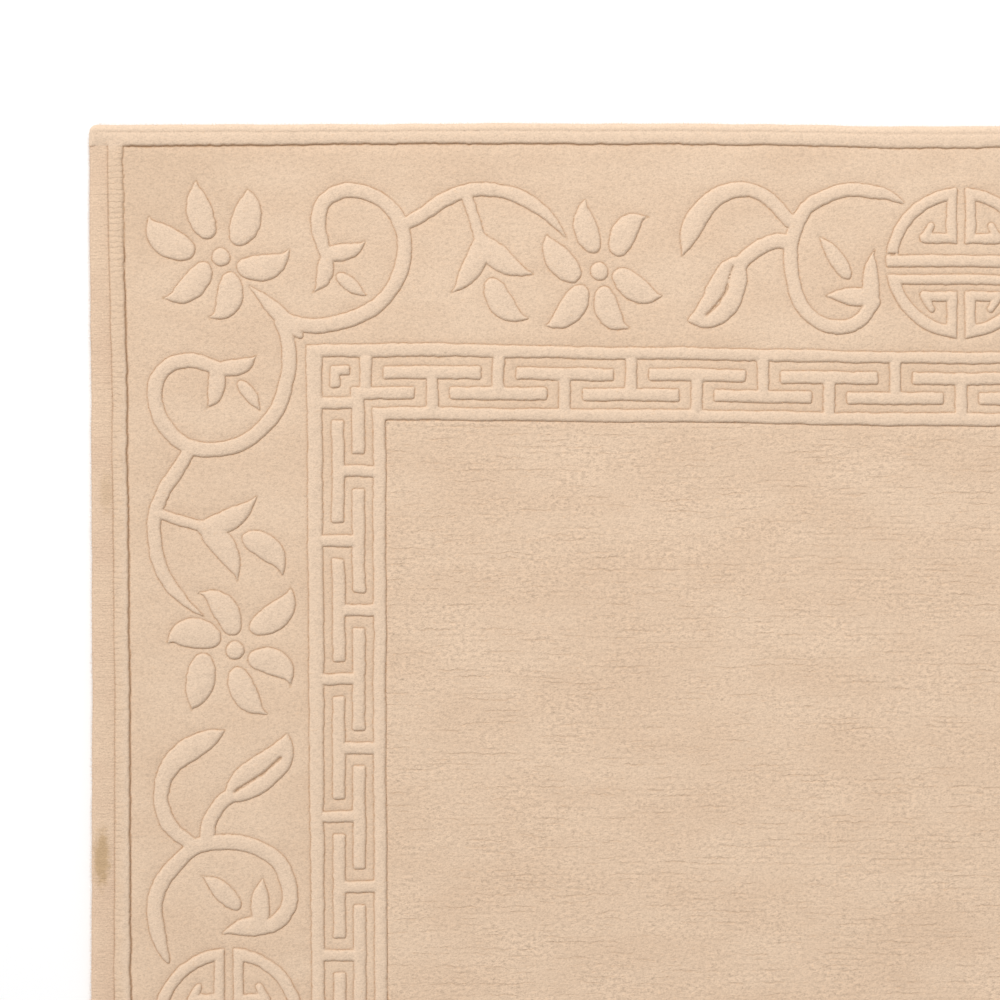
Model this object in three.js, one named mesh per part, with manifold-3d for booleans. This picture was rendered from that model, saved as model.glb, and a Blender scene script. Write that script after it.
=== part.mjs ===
// A hand-carved wool pile rug with a vine border and a key-fret frame, lying flat.
// Millimetres, +Z up, +Y along the rug's length. The origin is the middle of the underside.

import * as THREE from 'three';
import { mergeVertices } from 'three/addons/utils/BufferGeometryUtils.js';
import Module from 'manifold-3d';

// Driving sizes of the rug
const WIDTH = 1830;
const LENGTH = 2760;
const EDGE_TOP = 11; // the rolled edge, lower than the pile
const PILE_TOP = 13; // sheared pile of the field and of the border's ground
const CARVED_TOP = 15; // the raised vines, flowers, fret and guard band
const END_ROLL = 4.5; // the strip at each end where the edge rolls under
const BINDING_WIDTH = 19.5; // overcast wool along each long side
const BINDING_BEVEL = 3;
const PIECE_GAP = 0.3;
const FLAT_TOLERANCE = 0.1; // points closer than this to a straight edge are dropped
const ROOT = 2; // how far a raised motif reaches down into the pile below it

// The bands of the border, as distances in from the outer edge
const GUARD_ON_END = 19.5;
const GUARD_ON_SIDE = 35.5;
const FRET_OUTER_RAIL = { from: 229, to: 241 };
const FRET_OUTER_ROW = { from: 252, to: 262.5 };
const FRET_INNER_ROW = { from: 272.5, to: 285.5 };
const FRET_INNER_RAIL = { from: 296.5, to: 309.5 };

// The fret's T shapes, which hang from the two rails by turns
const CORNER_STEM = 289.5; // along the rug from its corner to the first stem
const STEM_WIDTH = 12;
const BAR_CLEARANCE = 37; // left between two bars of one row
const OVERLAP = 3; // by which a stem runs into its rail and its bar
const CORNER_BAR_START = 272.5;
const HOOK = { from: 251, to: 274, width: 10.5 }; // the small angle in the fret's corner

// The two kinds of side. Motifs are set out from each corner to the middle of the side
const END = { name: 'end', half: WIDTH / 2, stretch: 1, halfSteps: 9 };
const SIDE = { name: 'side', half: LENGTH / 2, stretch: 1.027, halfSteps: 15 };
const CORNERS = [
  { x: -1, y: 1 },
  { x: 1, y: 1 },
  { x: 1, y: -1 },
  { x: -1, y: -1 },
];

// A hand-made rug is not quite true: its lines wander inward by these amounts, given at four
// distances along a side from a corner, for the edge, the guard band and the fret's two rails
const DRIFT_STATIONS = [0, 330, 600, 915];
const DRIFT = {
  end: [
    { inward: 0, by: [0, 0, 1, 3] },
    { inward: 35.5, by: [0, -3.5, -3.5, 2] },
    { inward: 229, by: [0, -3.5, 0, 6.5] },
    { inward: 309.5, by: [0, -1.5, 0.5, 4.5] },
  ],
  side: [
    { inward: 0, by: [0, 0.5, 1.5, 2.5] },
    { inward: 35.5, by: [0, 1, 4, 6] },
    { inward: 229, by: [0, 1.5, 3, 4] },
    { inward: 309.5, by: [0, 0, 0.5, 2] },
  ],
};

// Stems of the vine: points along and inward from a corner, and widths at start, middle and end.
// Leaves and petals: base, tip, greatest width, sideways bend as a share of the length
const CORNER_STEMS = [
  {
    points: [[192, 188], [214, 203], [248, 208], [290, 195], [318, 168], [330, 130], [323, 96],
      [300, 74], [268, 67], [246, 79], [239, 103], [248, 138]],
    widths: [12, 15, 12],
    steps: 10,
  },
  {
    points: [[328, 104], [351, 91], [371, 77], [404, 66], [442, 70], [476, 90], [500, 118]],
    widths: [12, 14, 0],
    steps: 5,
  },
  { points: [[395, 72], [403, 94], [411, 124]], widths: [10, 11, 14], steps: 1 },
];
const CORNER_LEAVES = [
  { base: [242, 132], tip: [289, 120], width: 18, bend: 0.13 },
  { base: [247, 132], tip: [233, 174], width: 17, bend: -0.13 },
  { base: [260, 156], tip: [289, 178], width: 14, bend: 0.02 },
  { base: [413, 114], tip: [378, 174], width: 23, bend: -0.09 },
  { base: [408, 117], tip: [463, 155], width: 24, bend: 0.06 },
  { base: [419, 159], tip: [459, 201], width: 22, bend: 0.17 },
];
// The spray between a flower and a medallion, drawn once for the ends and once for the long sides
const SPRAY = {
  end: {
    stems: [
      {
        points: [[735, 100], [721, 84], [705, 71], [685, 66], [668, 67]],
        widths: [13, 14, 14],
        steps: 2,
      },
      {
        points: [[736, 121], [712, 123], [696, 132], [680, 148]],
        widths: [14, 14, 14],
        steps: 2,
      },
      {
        points: [[855, 80], [838, 72], [815, 68], [792, 67], [769, 75], [751, 88], [737, 120],
          [736, 148], [741, 175], [753, 196], [771, 208], [790, 210], [808, 203], [822, 184]],
        widths: [0, 14, 15],
        steps: 9,
      },
    ],
    leaves: [
      { base: [688, 65], tip: [620, 132], width: 25, bend: 0.17 },
      { base: [681, 138], tip: [627, 201], width: 19, bend: 0.02 },
      { base: [684, 142], tip: [632, 206], width: 20, bend: -0.28 },
      { base: [796, 159], tip: [766, 116], width: 17, bend: 0.03 },
      { base: [834, 181], tip: [772, 178], width: 21, bend: 0.03 },
      { base: [822, 188], tip: [824, 129], width: 17, bend: -0.06 },
    ],
  },
  side: {
    stems: [
      {
        points: [[756, 108], [742, 90], [730, 80], [718, 76], [706, 73], [693, 73], [680, 77]],
        widths: [13, 16, 16],
        steps: 3,
      },
      {
        points: [[753, 122], [733, 124], [721, 130], [710, 138], [700, 149]],
        widths: [15, 15, 15],
        steps: 2,
      },
      {
        points: [[880, 82], [866, 76], [846, 70], [826, 67], [808, 69], [790, 77], [772, 92],
          [756, 112], [752, 140], [756, 169], [769, 193], [786, 205], [810, 210], [830, 202], [840, 190]],
        widths: [0, 16, 15],
        steps: 9,
      },
    ],
    leaves: [
      { base: [687, 74], tip: [635, 138], width: 25, bend: 0.06 },
      { base: [703, 141], tip: [641, 205], width: 22, bend: 0.03 },
      { base: [706, 147], tip: [641, 206], width: 23, bend: -0.24 },
      { base: [821, 155], tip: [788, 116], width: 19, bend: -0.05 },
      { base: [838, 180], tip: [791, 181], width: 19, bend: 0.05 },
      { base: [840, 194], tip: [849, 138], width: 20, bend: -0.06 },
    ],
  },
};

const CORNER_SPRIG = { base: [208, 208], tip: [166, 166], width: 16, bend: 0.03 };

const CORNER_FLOWER = {
  centre: [136.5, 137],
  petals: [
    { base: [-13, -22], tip: [-25, -80], width: 25, bend: -0.05 },
    { base: [16, -17], tip: [28, -70], width: 28, bend: 0.04 },
    { base: [23, 8], tip: [72, -8], width: 25, bend: 0.17 },
    { base: [9, 22], tip: [-13, 62], width: 24, bend: -0.21 },
    { base: [-16, 8], tip: [-60, 46], width: 25, bend: -0.11 },
    { base: [-32, -6], tip: [-75, -44], width: 27, bend: -0.07 },
  ],
};
const BORDER_FLOWER = {
  end: {
    centre: [534, 152],
    petals: [
      { base: [-4, -22], tip: [-15, -75], width: 25, bend: -0.1 },
      { base: [21, -18], tip: [52, -57], width: 24, bend: -0.19 },
      { base: [18, 2], tip: [66, 25], width: 24, bend: 0.09 },
      { base: [4, 18], tip: [31, 60], width: 23, bend: 0.15 },
      { base: [-17, 18], tip: [-57, 57], width: 25, bend: -0.08 },
      { base: [-25, 6], tip: [-55, -37], width: 24, bend: -0.06 },
    ],
  },
  side: {
    centre: [550, 151.5],
    petals: [
      { base: [-19, -2], tip: [-59, -38], width: 24, bend: -0.19 },
      { base: [-23, 19], tip: [-65, 57], width: 26, bend: -0.15 },
      { base: [10, 17], tip: [35, 58], width: 25, bend: 0.22 },
      { base: [22, 2], tip: [66, 33], width: 25, bend: -0.14 },
      { base: [7, -33], tip: [61, -45], width: 26, bend: -0.03 },
      { base: [-10, -20], tip: [-9, -69], width: 28, bend: -0.16 },
    ],
  },
};
const BOSS_RADIUS = 10;
const MEDALLION_AT = { end: [915, 143], side: [943, 145] };
const LEAF_BASE = { at: 0.06, fullness: 0.75 };
const LEAF_BELLY = { at: 0.5, fullness: 1 };
const LEAF_SHOULDER = { at: 0.8, fullness: 0.8, fromBend: 0.155 }; // only on strongly bent leaves
const STEM_TAPER = 0.12; // the share of a stem over which it widens or narrows at an end

// The round fretwork medallion
const MEDALLION = {
  radius: 79,
  ring: 12,
  gap: 9,
  upperBar: { from: -8, to: 4 },
  lowerBar: { from: 10, to: 20 },
  post: 10.5,
  foot: 10,
  footLength: 40,
  clearAbove: 12.5,
  clearBelow: 7.5,
  hookFrom: 23,
  hookHeight: 13,
};
const RING_STEPS = 3;

// Places on the rug

function drift(run, along, inward) {
  const rows = DRIFT[run.name];
  const last = DRIFT_STATIONS.length - 1;
  const reach = THREE.MathUtils.clamp(along, 0, DRIFT_STATIONS[last]);
  const after = Math.max(DRIFT_STATIONS.findIndex((station) => station >= reach), 1);
  const [from, to] = [DRIFT_STATIONS[after - 1], DRIFT_STATIONS[after]];
  const share = THREE.MathUtils.smoothstep(reach, from, to);
  const amounts = rows.map(({ by }) => THREE.MathUtils.lerp(by[after - 1], by[after], share));
  const depth = Math.min(inward, rows.at(-1).inward);
  const row = Math.max(rows.findIndex((line) => line.inward >= depth), 1);
  const between = THREE.MathUtils.inverseLerp(rows[row - 1].inward, rows[row].inward, depth);
  return THREE.MathUtils.lerp(amounts[row - 1], amounts[row], between);
}

// The point at a distance along a side from a corner, and inward from the outer edge
function place(run, corner, along, inward) {
  const fromSide = run === SIDE ? inward : along;
  const fromEnd = run === SIDE ? along : inward;
  return new THREE.Vector2(corner.x * (WIDTH / 2 - fromSide), corner.y * (LENGTH / 2 - fromEnd));
}

// The same on an edge, a band or the fret, which wander
function placeOnBand(run, corner, along, inward) {
  return place(run, corner, along, inward + drift(run, along, inward));
}

// Outlines of the motifs

// A stem runs along its points; an end of no width is a single point
function stemOutline({ points, widths, steps }) {
  const line = new THREE.SplineCurve(points.map(([along, inward]) => new THREE.Vector2(along, inward)));
  const [start, middle, end] = widths;
  const left = [];
  const right = [];
  for (let i = 0; i <= steps; i += 1) {
    const t = i / steps;
    const nearest = t < 0.5 ? start : end;
    const full = Math.min(Math.min(t, 1 - t) / STEM_TAPER, 1);
    const width = THREE.MathUtils.lerp(nearest, middle, full);
    const centre = line.getPointAt(t);
    const tangent = line.getTangentAt(t);
    const across = new THREE.Vector2(-tangent.y, tangent.x).multiplyScalar(width / 2);
    left.push(centre.clone().add(across));
    if (width > 0) {
      right.unshift(centre.clone().sub(across));
    }
  }
  return [...left, ...right];
}

// A leaf has two points at its base, one or two on its bulging side and its tip
function leafOutline({ base, tip, width, bend }) {
  const from = new THREE.Vector2(...base);
  const to = new THREE.Vector2(...tip);
  const chord = to.clone().sub(from);
  const control = from.clone().add(to).multiplyScalar(0.5);
  control.add(new THREE.Vector2(-chord.y, chord.x).multiplyScalar(2 * bend));
  const line = new THREE.QuadraticBezierCurve(from, control, to);
  const beside = ({ at, fullness }, side) => {
    const tangent = line.getTangent(at);
    const across = new THREE.Vector2(-tangent.y, tangent.x).multiplyScalar(side * fullness * width / 2);
    return line.getPoint(at).add(across);
  };
  const bulge = bend < 0 ? -1 : 1;
  const outline = [beside(LEAF_BASE, -bulge), beside(LEAF_BASE, bulge), beside(LEAF_BELLY, bulge)];
  if (Math.abs(bend) > LEAF_SHOULDER.fromBend) {
    outline.push(beside(LEAF_SHOULDER, bulge));
  }
  return [...outline, to];
}

function discOutline([along, inward], radius, sides) {
  return Array.from({ length: sides }, (_, i) => {
    const angle = (2 * Math.PI * i) / sides;
    return new THREE.Vector2(along + radius * Math.cos(angle), inward + radius * Math.sin(angle));
  });
}

function barOutline(alongFrom, alongTo, inwardFrom, inwardTo) {
  return [
    new THREE.Vector2(alongFrom, inwardFrom),
    new THREE.Vector2(alongTo, inwardFrom),
    new THREE.Vector2(alongTo, inwardTo),
    new THREE.Vector2(alongFrom, inwardTo),
  ];
}

function moved(outline, [along, inward]) {
  return outline.map((point) => new THREE.Vector2(point.x + along, point.y + inward));
}

function flowerOutlines(flower, centre = flower.centre) {
  const petals = flower.petals.map((petal) => moved(leafOutline(petal), centre));
  return [...petals, discOutline(centre, BOSS_RADIUS, 6)];
}

// A quarter of the medallion, right of its gap: the ring, then a post beside the gap with a hooked
// foot. Down is 1 for the half nearer the field
function medallionQuarter(down) {
  const { radius, ring, gap, upperBar, lowerBar, post, foot, footLength } = MEDALLION;
  const { clearAbove, clearBelow, hookFrom, hookHeight } = MEDALLION;
  const barEdge = down > 0 ? lowerBar.to : -upperBar.from;
  const footAt = barEdge + (down > 0 ? clearBelow : clearAbove);
  const side = gap / 2;
  const arc = (r, start) => Array.from({ length: RING_STEPS + 1 }, (_, i) => {
    const angle = THREE.MathUtils.lerp(Math.asin(start / r), Math.acos(side / r), i / RING_STEPS);
    return [r * Math.cos(angle), r * Math.sin(angle)];
  });
  const inner = radius - ring;
  const innerArc = arc(inner, barEdge - 1).reverse();
  innerArc[0] = [side + post, Math.sqrt(inner ** 2 - (side + post) ** 2)];
  return [
    ...arc(radius, barEdge - 1),
    [side, footAt],
    [side + footLength, footAt],
    [side + hookFrom, footAt + foot + hookHeight],
    [side + hookFrom, footAt + foot],
    [side + post, footAt + foot],
    ...innerArc,
  ].map(([x, y]) => new THREE.Vector2(x, y * down));
}

// The right half of the medallion: its left half is the mirror image
function medallionHalf() {
  const { radius, upperBar, lowerBar } = MEDALLION;
  const bars = [upperBar, lowerBar].map(({ from, to }) => barOutline(-1, radius, from, to));
  return [medallionQuarter(-1), medallionQuarter(1), ...bars];
}

function mirrored(outline) {
  return outline.map((point) => new THREE.Vector2(-point.x, point.y));
}

// Motifs of each half side

function stretched(outline, factor) {
  return outline.map((point) => new THREE.Vector2(point.x * factor, point.y));
}

function vineOutlines(run) {
  const corner = [...CORNER_STEMS.map(stemOutline), ...CORNER_LEAVES.map(leafOutline)];
  const { stems, leaves } = SPRAY[run.name];
  const spray = [...stems.map(stemOutline), ...leaves.map(leafOutline)];
  return [
    ...corner.map((outline) => stretched(outline, run.stretch)),
    ...flowerOutlines(BORDER_FLOWER[run.name]),
    ...spray,
    ...(run === SIDE ? sideOutlines(spray) : endMedallionOutlines()),
  ];
}

// At an end's middle each corner brings the half of the medallion on its own side
function endMedallionOutlines() {
  return medallionHalf().map((outline) => moved(mirrored(outline), MEDALLION_AT.end));
}

// On a long side the medallion stands upright, and the spray is met again beyond it, facing the
// middle flower
function sideOutlines(spray) {
  const [along] = MEDALLION_AT.side;
  const factor = (SIDE.half - along) / (along - BORDER_FLOWER.side.centre[0]);
  const facing = spray.map((outline) => outline.map((point) => (
    new THREE.Vector2(along + (along - point.x) * factor, point.y)
  )));
  const medallion = [...medallionHalf(), ...medallionHalf().map(mirrored)];
  const upright = medallion.map((outline) => outline.map(({ x, y }) => new THREE.Vector2(y, x)));
  return [...facing, ...upright.map((outline) => moved(outline, MEDALLION_AT.side))];
}

// The T shapes of half a side: odd ones stand on the inner rail, even ones hang from the outer
function fretOutlines(run) {
  const pitch = (run.half - CORNER_STEM) / run.halfSteps;
  const halfBar = pitch - BAR_CLEARANCE / 2;
  const outlines = [];
  for (let i = 0; i <= run.halfSteps; i += 1) {
    const middle = CORNER_STEM + i * pitch;
    const hanging = i % 2 === 0;
    const row = hanging ? FRET_INNER_ROW : FRET_OUTER_ROW;
    const barFrom = i === 0 ? CORNER_BAR_START : middle - halfBar;
    const barTo = Math.min(middle + halfBar, run.half + 1);
    const stemTo = Math.min(middle + STEM_WIDTH / 2, run.half + 1);
    const stem = hanging
      ? { from: FRET_OUTER_RAIL.to - OVERLAP, to: row.from + OVERLAP }
      : { from: row.to - OVERLAP, to: FRET_INNER_RAIL.from + OVERLAP };
    outlines.push(barOutline(barFrom, barTo, row.from, row.to));
    outlines.push(barOutline(middle - STEM_WIDTH / 2, stemTo, stem.from, stem.to));
  }
  outlines.push(barOutline(HOOK.from, HOOK.to, HOOK.from, HOOK.from + HOOK.width));
  return outlines;
}

// Loops that go all the way round

function stationsFrom(start) {
  return [start, ...DRIFT_STATIONS.slice(1)];
}

function loopPoints(onEnd, onSide) {
  return CORNERS.flatMap((corner, index) => {
    const next = CORNERS[(index + 1) % CORNERS.length];
    const acrossEnd = corner.y === next.y;
    const run = acrossEnd ? END : SIDE;
    const inward = acrossEnd ? onEnd : onSide;
    const stations = stationsFrom(acrossEnd ? onSide : onEnd);
    const leaving = stations.map((along) => placeOnBand(run, corner, along, inward));
    const middle = acrossEnd ? 1 : 0;
    const arriving = stations.slice(1, stations.length - middle).reverse();
    return [...leaving, ...arriving.map((along) => placeOnBand(run, next, along, inward))];
  });
}

function ringShape(outer, inner) {
  const shape = new THREE.Shape(outer);
  shape.holes.push(new THREE.Path([...inner].reverse()));
  return shape;
}

// Solids

const wasm = await Module();
wasm.setup();

function toManifold(geometry) {
  geometry.deleteAttribute('normal');
  geometry.deleteAttribute('uv');
  const merged = mergeVertices(geometry, 0.0001);
  return new wasm.Manifold(new wasm.Mesh({
    numProp: 3,
    vertProperties: new Float32Array(merged.getAttribute('position').array),
    triVerts: new Uint32Array(merged.getIndex().array),
  }));
}

function toGeometry(manifold) {
  const { vertProperties, triVerts } = manifold.getMesh();
  const geometry = new THREE.BufferGeometry();
  geometry.setAttribute('position', new THREE.BufferAttribute(vertProperties, 3));
  geometry.setIndex(new THREE.BufferAttribute(triVerts, 1));
  geometry.computeVertexNormals();
  return geometry;
}

function plate(shape, bottom, top) {
  const geometry = new THREE.ExtrudeGeometry(shape, { depth: top - bottom, bevelEnabled: false });
  geometry.translate(0, 0, bottom);
  return toManifold(geometry);
}

function raisedPlate(outline, toRug) {
  const shape = new THREE.Shape(outline.map((point) => toRug(point.x, point.y)));
  return plate(shape, PILE_TOP - ROOT, CARVED_TOP);
}

function raisedMotifs() {
  const plates = [];
  const raise = (run, corner, outlines, placing) => {
    const toRug = (along, inward) => placing(run, corner, along, inward);
    plates.push(...outlines.map((outline) => raisedPlate(outline, toRug)));
  };
  for (const run of [END, SIDE]) {
    const [vine, fret] = [vineOutlines(run), fretOutlines(run)];
    for (const corner of CORNERS) {
      raise(run, corner, vine, place);
      raise(run, corner, fret, placeOnBand);
    }
  }
  const cornerFlower = flowerOutlines(CORNER_FLOWER);
  for (const corner of CORNERS) {
    raise(END, corner, [...cornerFlower, leafOutline(CORNER_SPRIG)], place);
  }
  const middleFlower = flowerOutlines(BORDER_FLOWER.side, [SIDE.half, BORDER_FLOWER.side.centre[1]]);
  raise(SIDE, CORNERS[0], middleFlower, place);
  raise(SIDE, CORNERS[2], middleFlower, place);
  return plates;
}

function raisedBands() {
  const bodyEdge = BINDING_WIDTH + PIECE_GAP;
  const bands = [
    ringShape(loopPoints(END_ROLL, bodyEdge), loopPoints(GUARD_ON_END, GUARD_ON_SIDE)),
    ...[FRET_OUTER_RAIL, FRET_INNER_RAIL].map(({ from, to }) => (
      ringShape(loopPoints(from, from), loopPoints(to, to))
    )),
  ];
  return bands.map((shape) => plate(shape, PILE_TOP - ROOT, CARVED_TOP));
}

function makeBody() {
  const bodyEdge = BINDING_WIDTH + PIECE_GAP;
  const foundation = plate(new THREE.Shape(loopPoints(0, bodyEdge)), 0, EDGE_TOP);
  const pile = plate(new THREE.Shape(loopPoints(END_ROLL, bodyEdge)), EDGE_TOP - ROOT, PILE_TOP);
  const parts = [foundation, pile, ...raisedBands(), ...raisedMotifs()];
  const joined = wasm.Manifold.union(parts).asOriginal();
  return toGeometry(joined.simplify(FLAT_TOLERANCE));
}

// A flat roll of wool overcast on one long side; which is -1 for the left
function makeBinding(which) {
  const edges = [0, BINDING_WIDTH].map((inward) => {
    const fromCorner = (y) => stationsFrom(0).map((along) => (
      placeOnBand(SIDE, { x: which, y }, along, inward)
    ));
    return [...fromCorner(1), ...fromCorner(-1).reverse()];
  });
  const shape = new THREE.Shape([...edges[0], ...edges[1].reverse()]);
  const geometry = new THREE.ExtrudeGeometry(shape, {
    depth: EDGE_TOP - 2 * BINDING_BEVEL,
    bevelThickness: BINDING_BEVEL,
    bevelSize: BINDING_BEVEL,
    bevelOffset: -BINDING_BEVEL,
    bevelSegments: 1,
  });
  geometry.translate(0, 0, BINDING_BEVEL);
  return geometry;
}

function makeRug() {
  const pileWool = new THREE.MeshStandardMaterial({ color: '#e3c8ab', roughness: 1, metalness: 0 });
  const bindingWool = new THREE.MeshStandardMaterial({ color: '#e1c5a5', roughness: 1, metalness: 0 });
  const rug = new THREE.Group();
  const add = (name, geometry, material) => {
    const mesh = new THREE.Mesh(geometry, material);
    mesh.name = name;
    rug.add(mesh);
  };
  add('rug_body', makeBody(), pileWool);
  add('side_binding_left', makeBinding(-1), bindingWool);
  add('side_binding_right', makeBinding(1), bindingWool);
  return rug;
}

export default makeRug();
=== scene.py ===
"""The looks of a hand-carved wool rug in one shade of cream.

Lengths are millimetres until a mesh is made. A place on the rug is given in one of two ways: as x and
y in the rug's own frame, or within a quarter of the rug as the distance from its long side and from
its end. A motif of the border is drawn along a side and inward from it, as the carver sees it.
"""

import math

import bmesh
import bpy
import numpy as np
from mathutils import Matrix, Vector
from mathutils.geometry import delaunay_2d_cdt


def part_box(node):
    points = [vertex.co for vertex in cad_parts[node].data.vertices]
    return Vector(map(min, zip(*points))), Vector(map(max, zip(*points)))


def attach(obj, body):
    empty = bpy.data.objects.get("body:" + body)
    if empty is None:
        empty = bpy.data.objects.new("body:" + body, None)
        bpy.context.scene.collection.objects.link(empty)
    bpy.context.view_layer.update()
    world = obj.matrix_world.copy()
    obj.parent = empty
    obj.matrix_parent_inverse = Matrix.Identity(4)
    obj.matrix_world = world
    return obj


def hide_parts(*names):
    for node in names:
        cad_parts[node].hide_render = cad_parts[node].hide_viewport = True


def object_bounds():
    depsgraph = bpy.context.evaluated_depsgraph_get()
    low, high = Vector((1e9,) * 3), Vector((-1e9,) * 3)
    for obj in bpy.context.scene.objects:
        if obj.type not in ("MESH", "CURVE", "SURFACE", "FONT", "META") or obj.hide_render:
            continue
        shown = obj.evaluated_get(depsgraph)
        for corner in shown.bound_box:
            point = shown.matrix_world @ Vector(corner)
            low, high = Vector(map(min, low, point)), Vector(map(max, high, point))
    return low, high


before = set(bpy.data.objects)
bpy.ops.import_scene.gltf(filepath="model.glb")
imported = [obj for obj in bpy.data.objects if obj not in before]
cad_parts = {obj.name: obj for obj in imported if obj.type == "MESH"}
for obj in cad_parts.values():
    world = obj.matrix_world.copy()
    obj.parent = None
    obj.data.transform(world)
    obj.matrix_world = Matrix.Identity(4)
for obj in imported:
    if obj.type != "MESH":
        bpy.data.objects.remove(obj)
cad_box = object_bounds()

MM = 0.001

# Sizes of the rug, from its frame
HALF_WIDTH = cad_box[1].x / MM
HALF_LENGTH = cad_box[1].y / MM
CARVED_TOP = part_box("rug_body")[1].z / MM
BODY_SIDE = HALF_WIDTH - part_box("rug_body")[1].x / MM
BINDING_GAP = 0.3
BINDING_WIDTH = BODY_SIDE - BINDING_GAP
CARVING_DEPTH = 2
PILE_TOP = CARVED_TOP - CARVING_DEPTH
FOUNDATION_TOP = 3
FOUNDATION_INSET = 1.0
# The foundation's edge from below: how far it is drawn in, and the height there
FOUNDATION_PROFILE = ((0.8, 0), (0, 0.8), (0, FOUNDATION_TOP - 0.4), (0.6, FOUNDATION_TOP))
# How far the pile's lower edge dips into the foundation, and stays inside the rug's edge
PILE_ROOT = 0.4
PILE_ROOT_INSET = 2

# The bands of the border, as distances in from the outer edge
GUARD_ON_END = 19.5
GUARD_ON_SIDE = 35.5
OUTER_RAIL = (229, 243)
OUTER_ROW = (253, 266)
INNER_ROW = (274.5, 287.5)
INNER_RAIL = (296.5, 309.5)

# The fret's T shapes, which hang from the two rails by turns
CORNER_STEM = 289.5
STEM_WIDTH = 12
BAR_CLEARANCE = 37
OVERLAP = 3
CORNER_BAR_START = 274.5
HOOK = {"from": 252, "to": 273, "width": 10}
BAR_ROUNDING = 2

# How the lines of the border wander inward, at four distances along a side from its corner
DRIFT_STATIONS = (0, 330, 600, 915)
DRIFT = {
    "end": {
        0: (0, 0, 1, 3),
        35.5: (0, -3.5, -3.5, 2),
        229: (7, -1.5, 3, 8),
        243: (1, -2, 1.2, 5.8),
        309.5: (0, -1.5, 0.5, 4.5),
    },
    "side": {
        0: (0, 0.5, 1.5, 2.5),
        20: (-3, 2.5, 5, 4.5),
        35.5: (-3, 2.5, 5, 6),
        229: (-6, -1.5, 0.2, 3.5),
        243: (-1, 0.3, 1.6, 2.7),
        309.5: (0, 0, 0.5, 2),
    },
}

# Stems: points along and inward, and widths at the start, in the middle and at the end.
# Blades: the same, with a width at each point.
# Leaves and petals: base, tip, greatest width, sideways bend as a share of the length
CORNER_STEMS = (
    {
        "points": [(200, 199), (218, 207), (248, 208), (290, 195), (318, 168), (330, 130), (323, 96),
                   (300, 74), (268, 67), (246, 79), (239, 103), (248, 138)],
        "widths": (12, 15, 12),
    },
    {"points": [(395, 72), (403, 94), (411, 124)], "widths": (10, 11, 14)},
)
CORNER_BLADES = (
    {
        "points": [(326, 105), (351, 91), (371, 77), (404, 66), (442, 70), (466, 82), (485, 98), (501, 119)],
        "widths": (12, 14, 14, 14, 14, 14, 9, 0),
    },
)
CORNER_LEAVES = (
    {"base": (242, 132), "tip": (289, 120), "width": 18, "bend": 0.13},
    {"base": (247, 132), "tip": (233, 174), "width": 17, "bend": -0.13},
    {"base": (260, 156), "tip": (289, 178), "width": 14, "bend": 0.02},
    {"base": (413, 114), "tip": (378, 174), "width": 23, "bend": -0.09},
    {"base": (408, 117), "tip": (464, 154), "width": 25, "bend": 0.1},
    {"base": (420, 162), "tip": (459, 201), "width": 26, "bend": 0.17},
)
CORNER_SPRIG = {"base": (222, 222), "tip": (166, 167), "width": 16, "bend": 0.02, "belly": 0.36}
CORNER_STRETCH = {"end": 1, "side": 1.027}

# The spray between a flower and a medallion
SPRAY_STEMS = {
    "end": (
        {"points": [(736, 121), (720, 121), (705, 126), (691, 135), (680, 147)], "widths": (14, 15.5, 15)},
        {
            "points": [(855, 80), (838, 72), (815, 68), (792, 67), (769, 75), (751, 88), (737, 120),
                       (736, 148), (741, 175), (753, 196), (771, 208), (790, 210), (808, 203), (822, 184)],
            "widths": (0, 14, 15),
        },
    ),
    "side": (
        {"points": [(753, 122), (733, 124), (721, 130), (710, 138), (702, 148)], "widths": (15, 15, 14)},
        {
            "points": [(880, 82), (866, 76), (846, 70), (826, 67), (808, 69), (790, 77), (772, 92),
                       (756, 112), (752, 140), (756, 169), (769, 193), (786, 205), (810, 210),
                       (830, 202), (840, 190)],
            "widths": (0, 16, 15),
        },
    ),
}
SPRAY_BLADES = {
    "end": (
        {
            "points": [(735, 100), (721, 84), (705, 71), (685, 66), (668, 69), (651, 79), (638, 96),
                       (629, 115), (621, 136)],
            "widths": (13, 14, 14, 15, 17, 20, 23, 18, 1),
        },
        {
            "points": [(677, 144), (673, 157), (667, 172), (661, 185), (647, 198), (629, 203)],
            "widths": (15, 33, 39, 38, 26, 3),
        },
    ),
    "side": (
        {
            "points": [(756, 108), (742, 90), (730, 80), (718, 76), (706, 73), (686, 76), (672, 83),
                       (661, 94), (652, 108), (643, 124), (635, 139)],
            "widths": (13, 15, 16, 15, 15, 17, 20, 23, 24, 18, 1),
        },
        {
            "points": [(703, 147), (690, 163), (678, 180), (664, 196), (650, 203), (639, 205)],
            "widths": (14, 34, 36, 29, 16, 2),
        },
    ),
}
SPRAY_LEAVES = {
    "end": (
        {"base": (796, 159), "tip": (766, 116), "width": 17, "bend": 0.03},
        {"base": (826, 181), "tip": (772, 178), "width": 19, "bend": 0.03},
        {"base": (822, 188), "tip": (824, 129), "width": 17, "bend": -0.06},
    ),
    "side": (
        {"base": (821, 155), "tip": (788, 116), "width": 19, "bend": -0.05},
        {"base": (838, 180), "tip": (791, 181), "width": 19, "bend": 0.05},
        {"base": (840, 194), "tip": (849, 138), "width": 20, "bend": -0.06},
    ),
}

# The cut that parts the two blades of a double leaf
LEAF_PARTING = {
    "end": ((675, 147), (671, 158), (668, 172), (660, 185), (647, 198)),
    "side": ((699, 151), (690, 165), (679, 182), (663, 199)),
}
PARTING_WIDTH = 2.3

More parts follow.
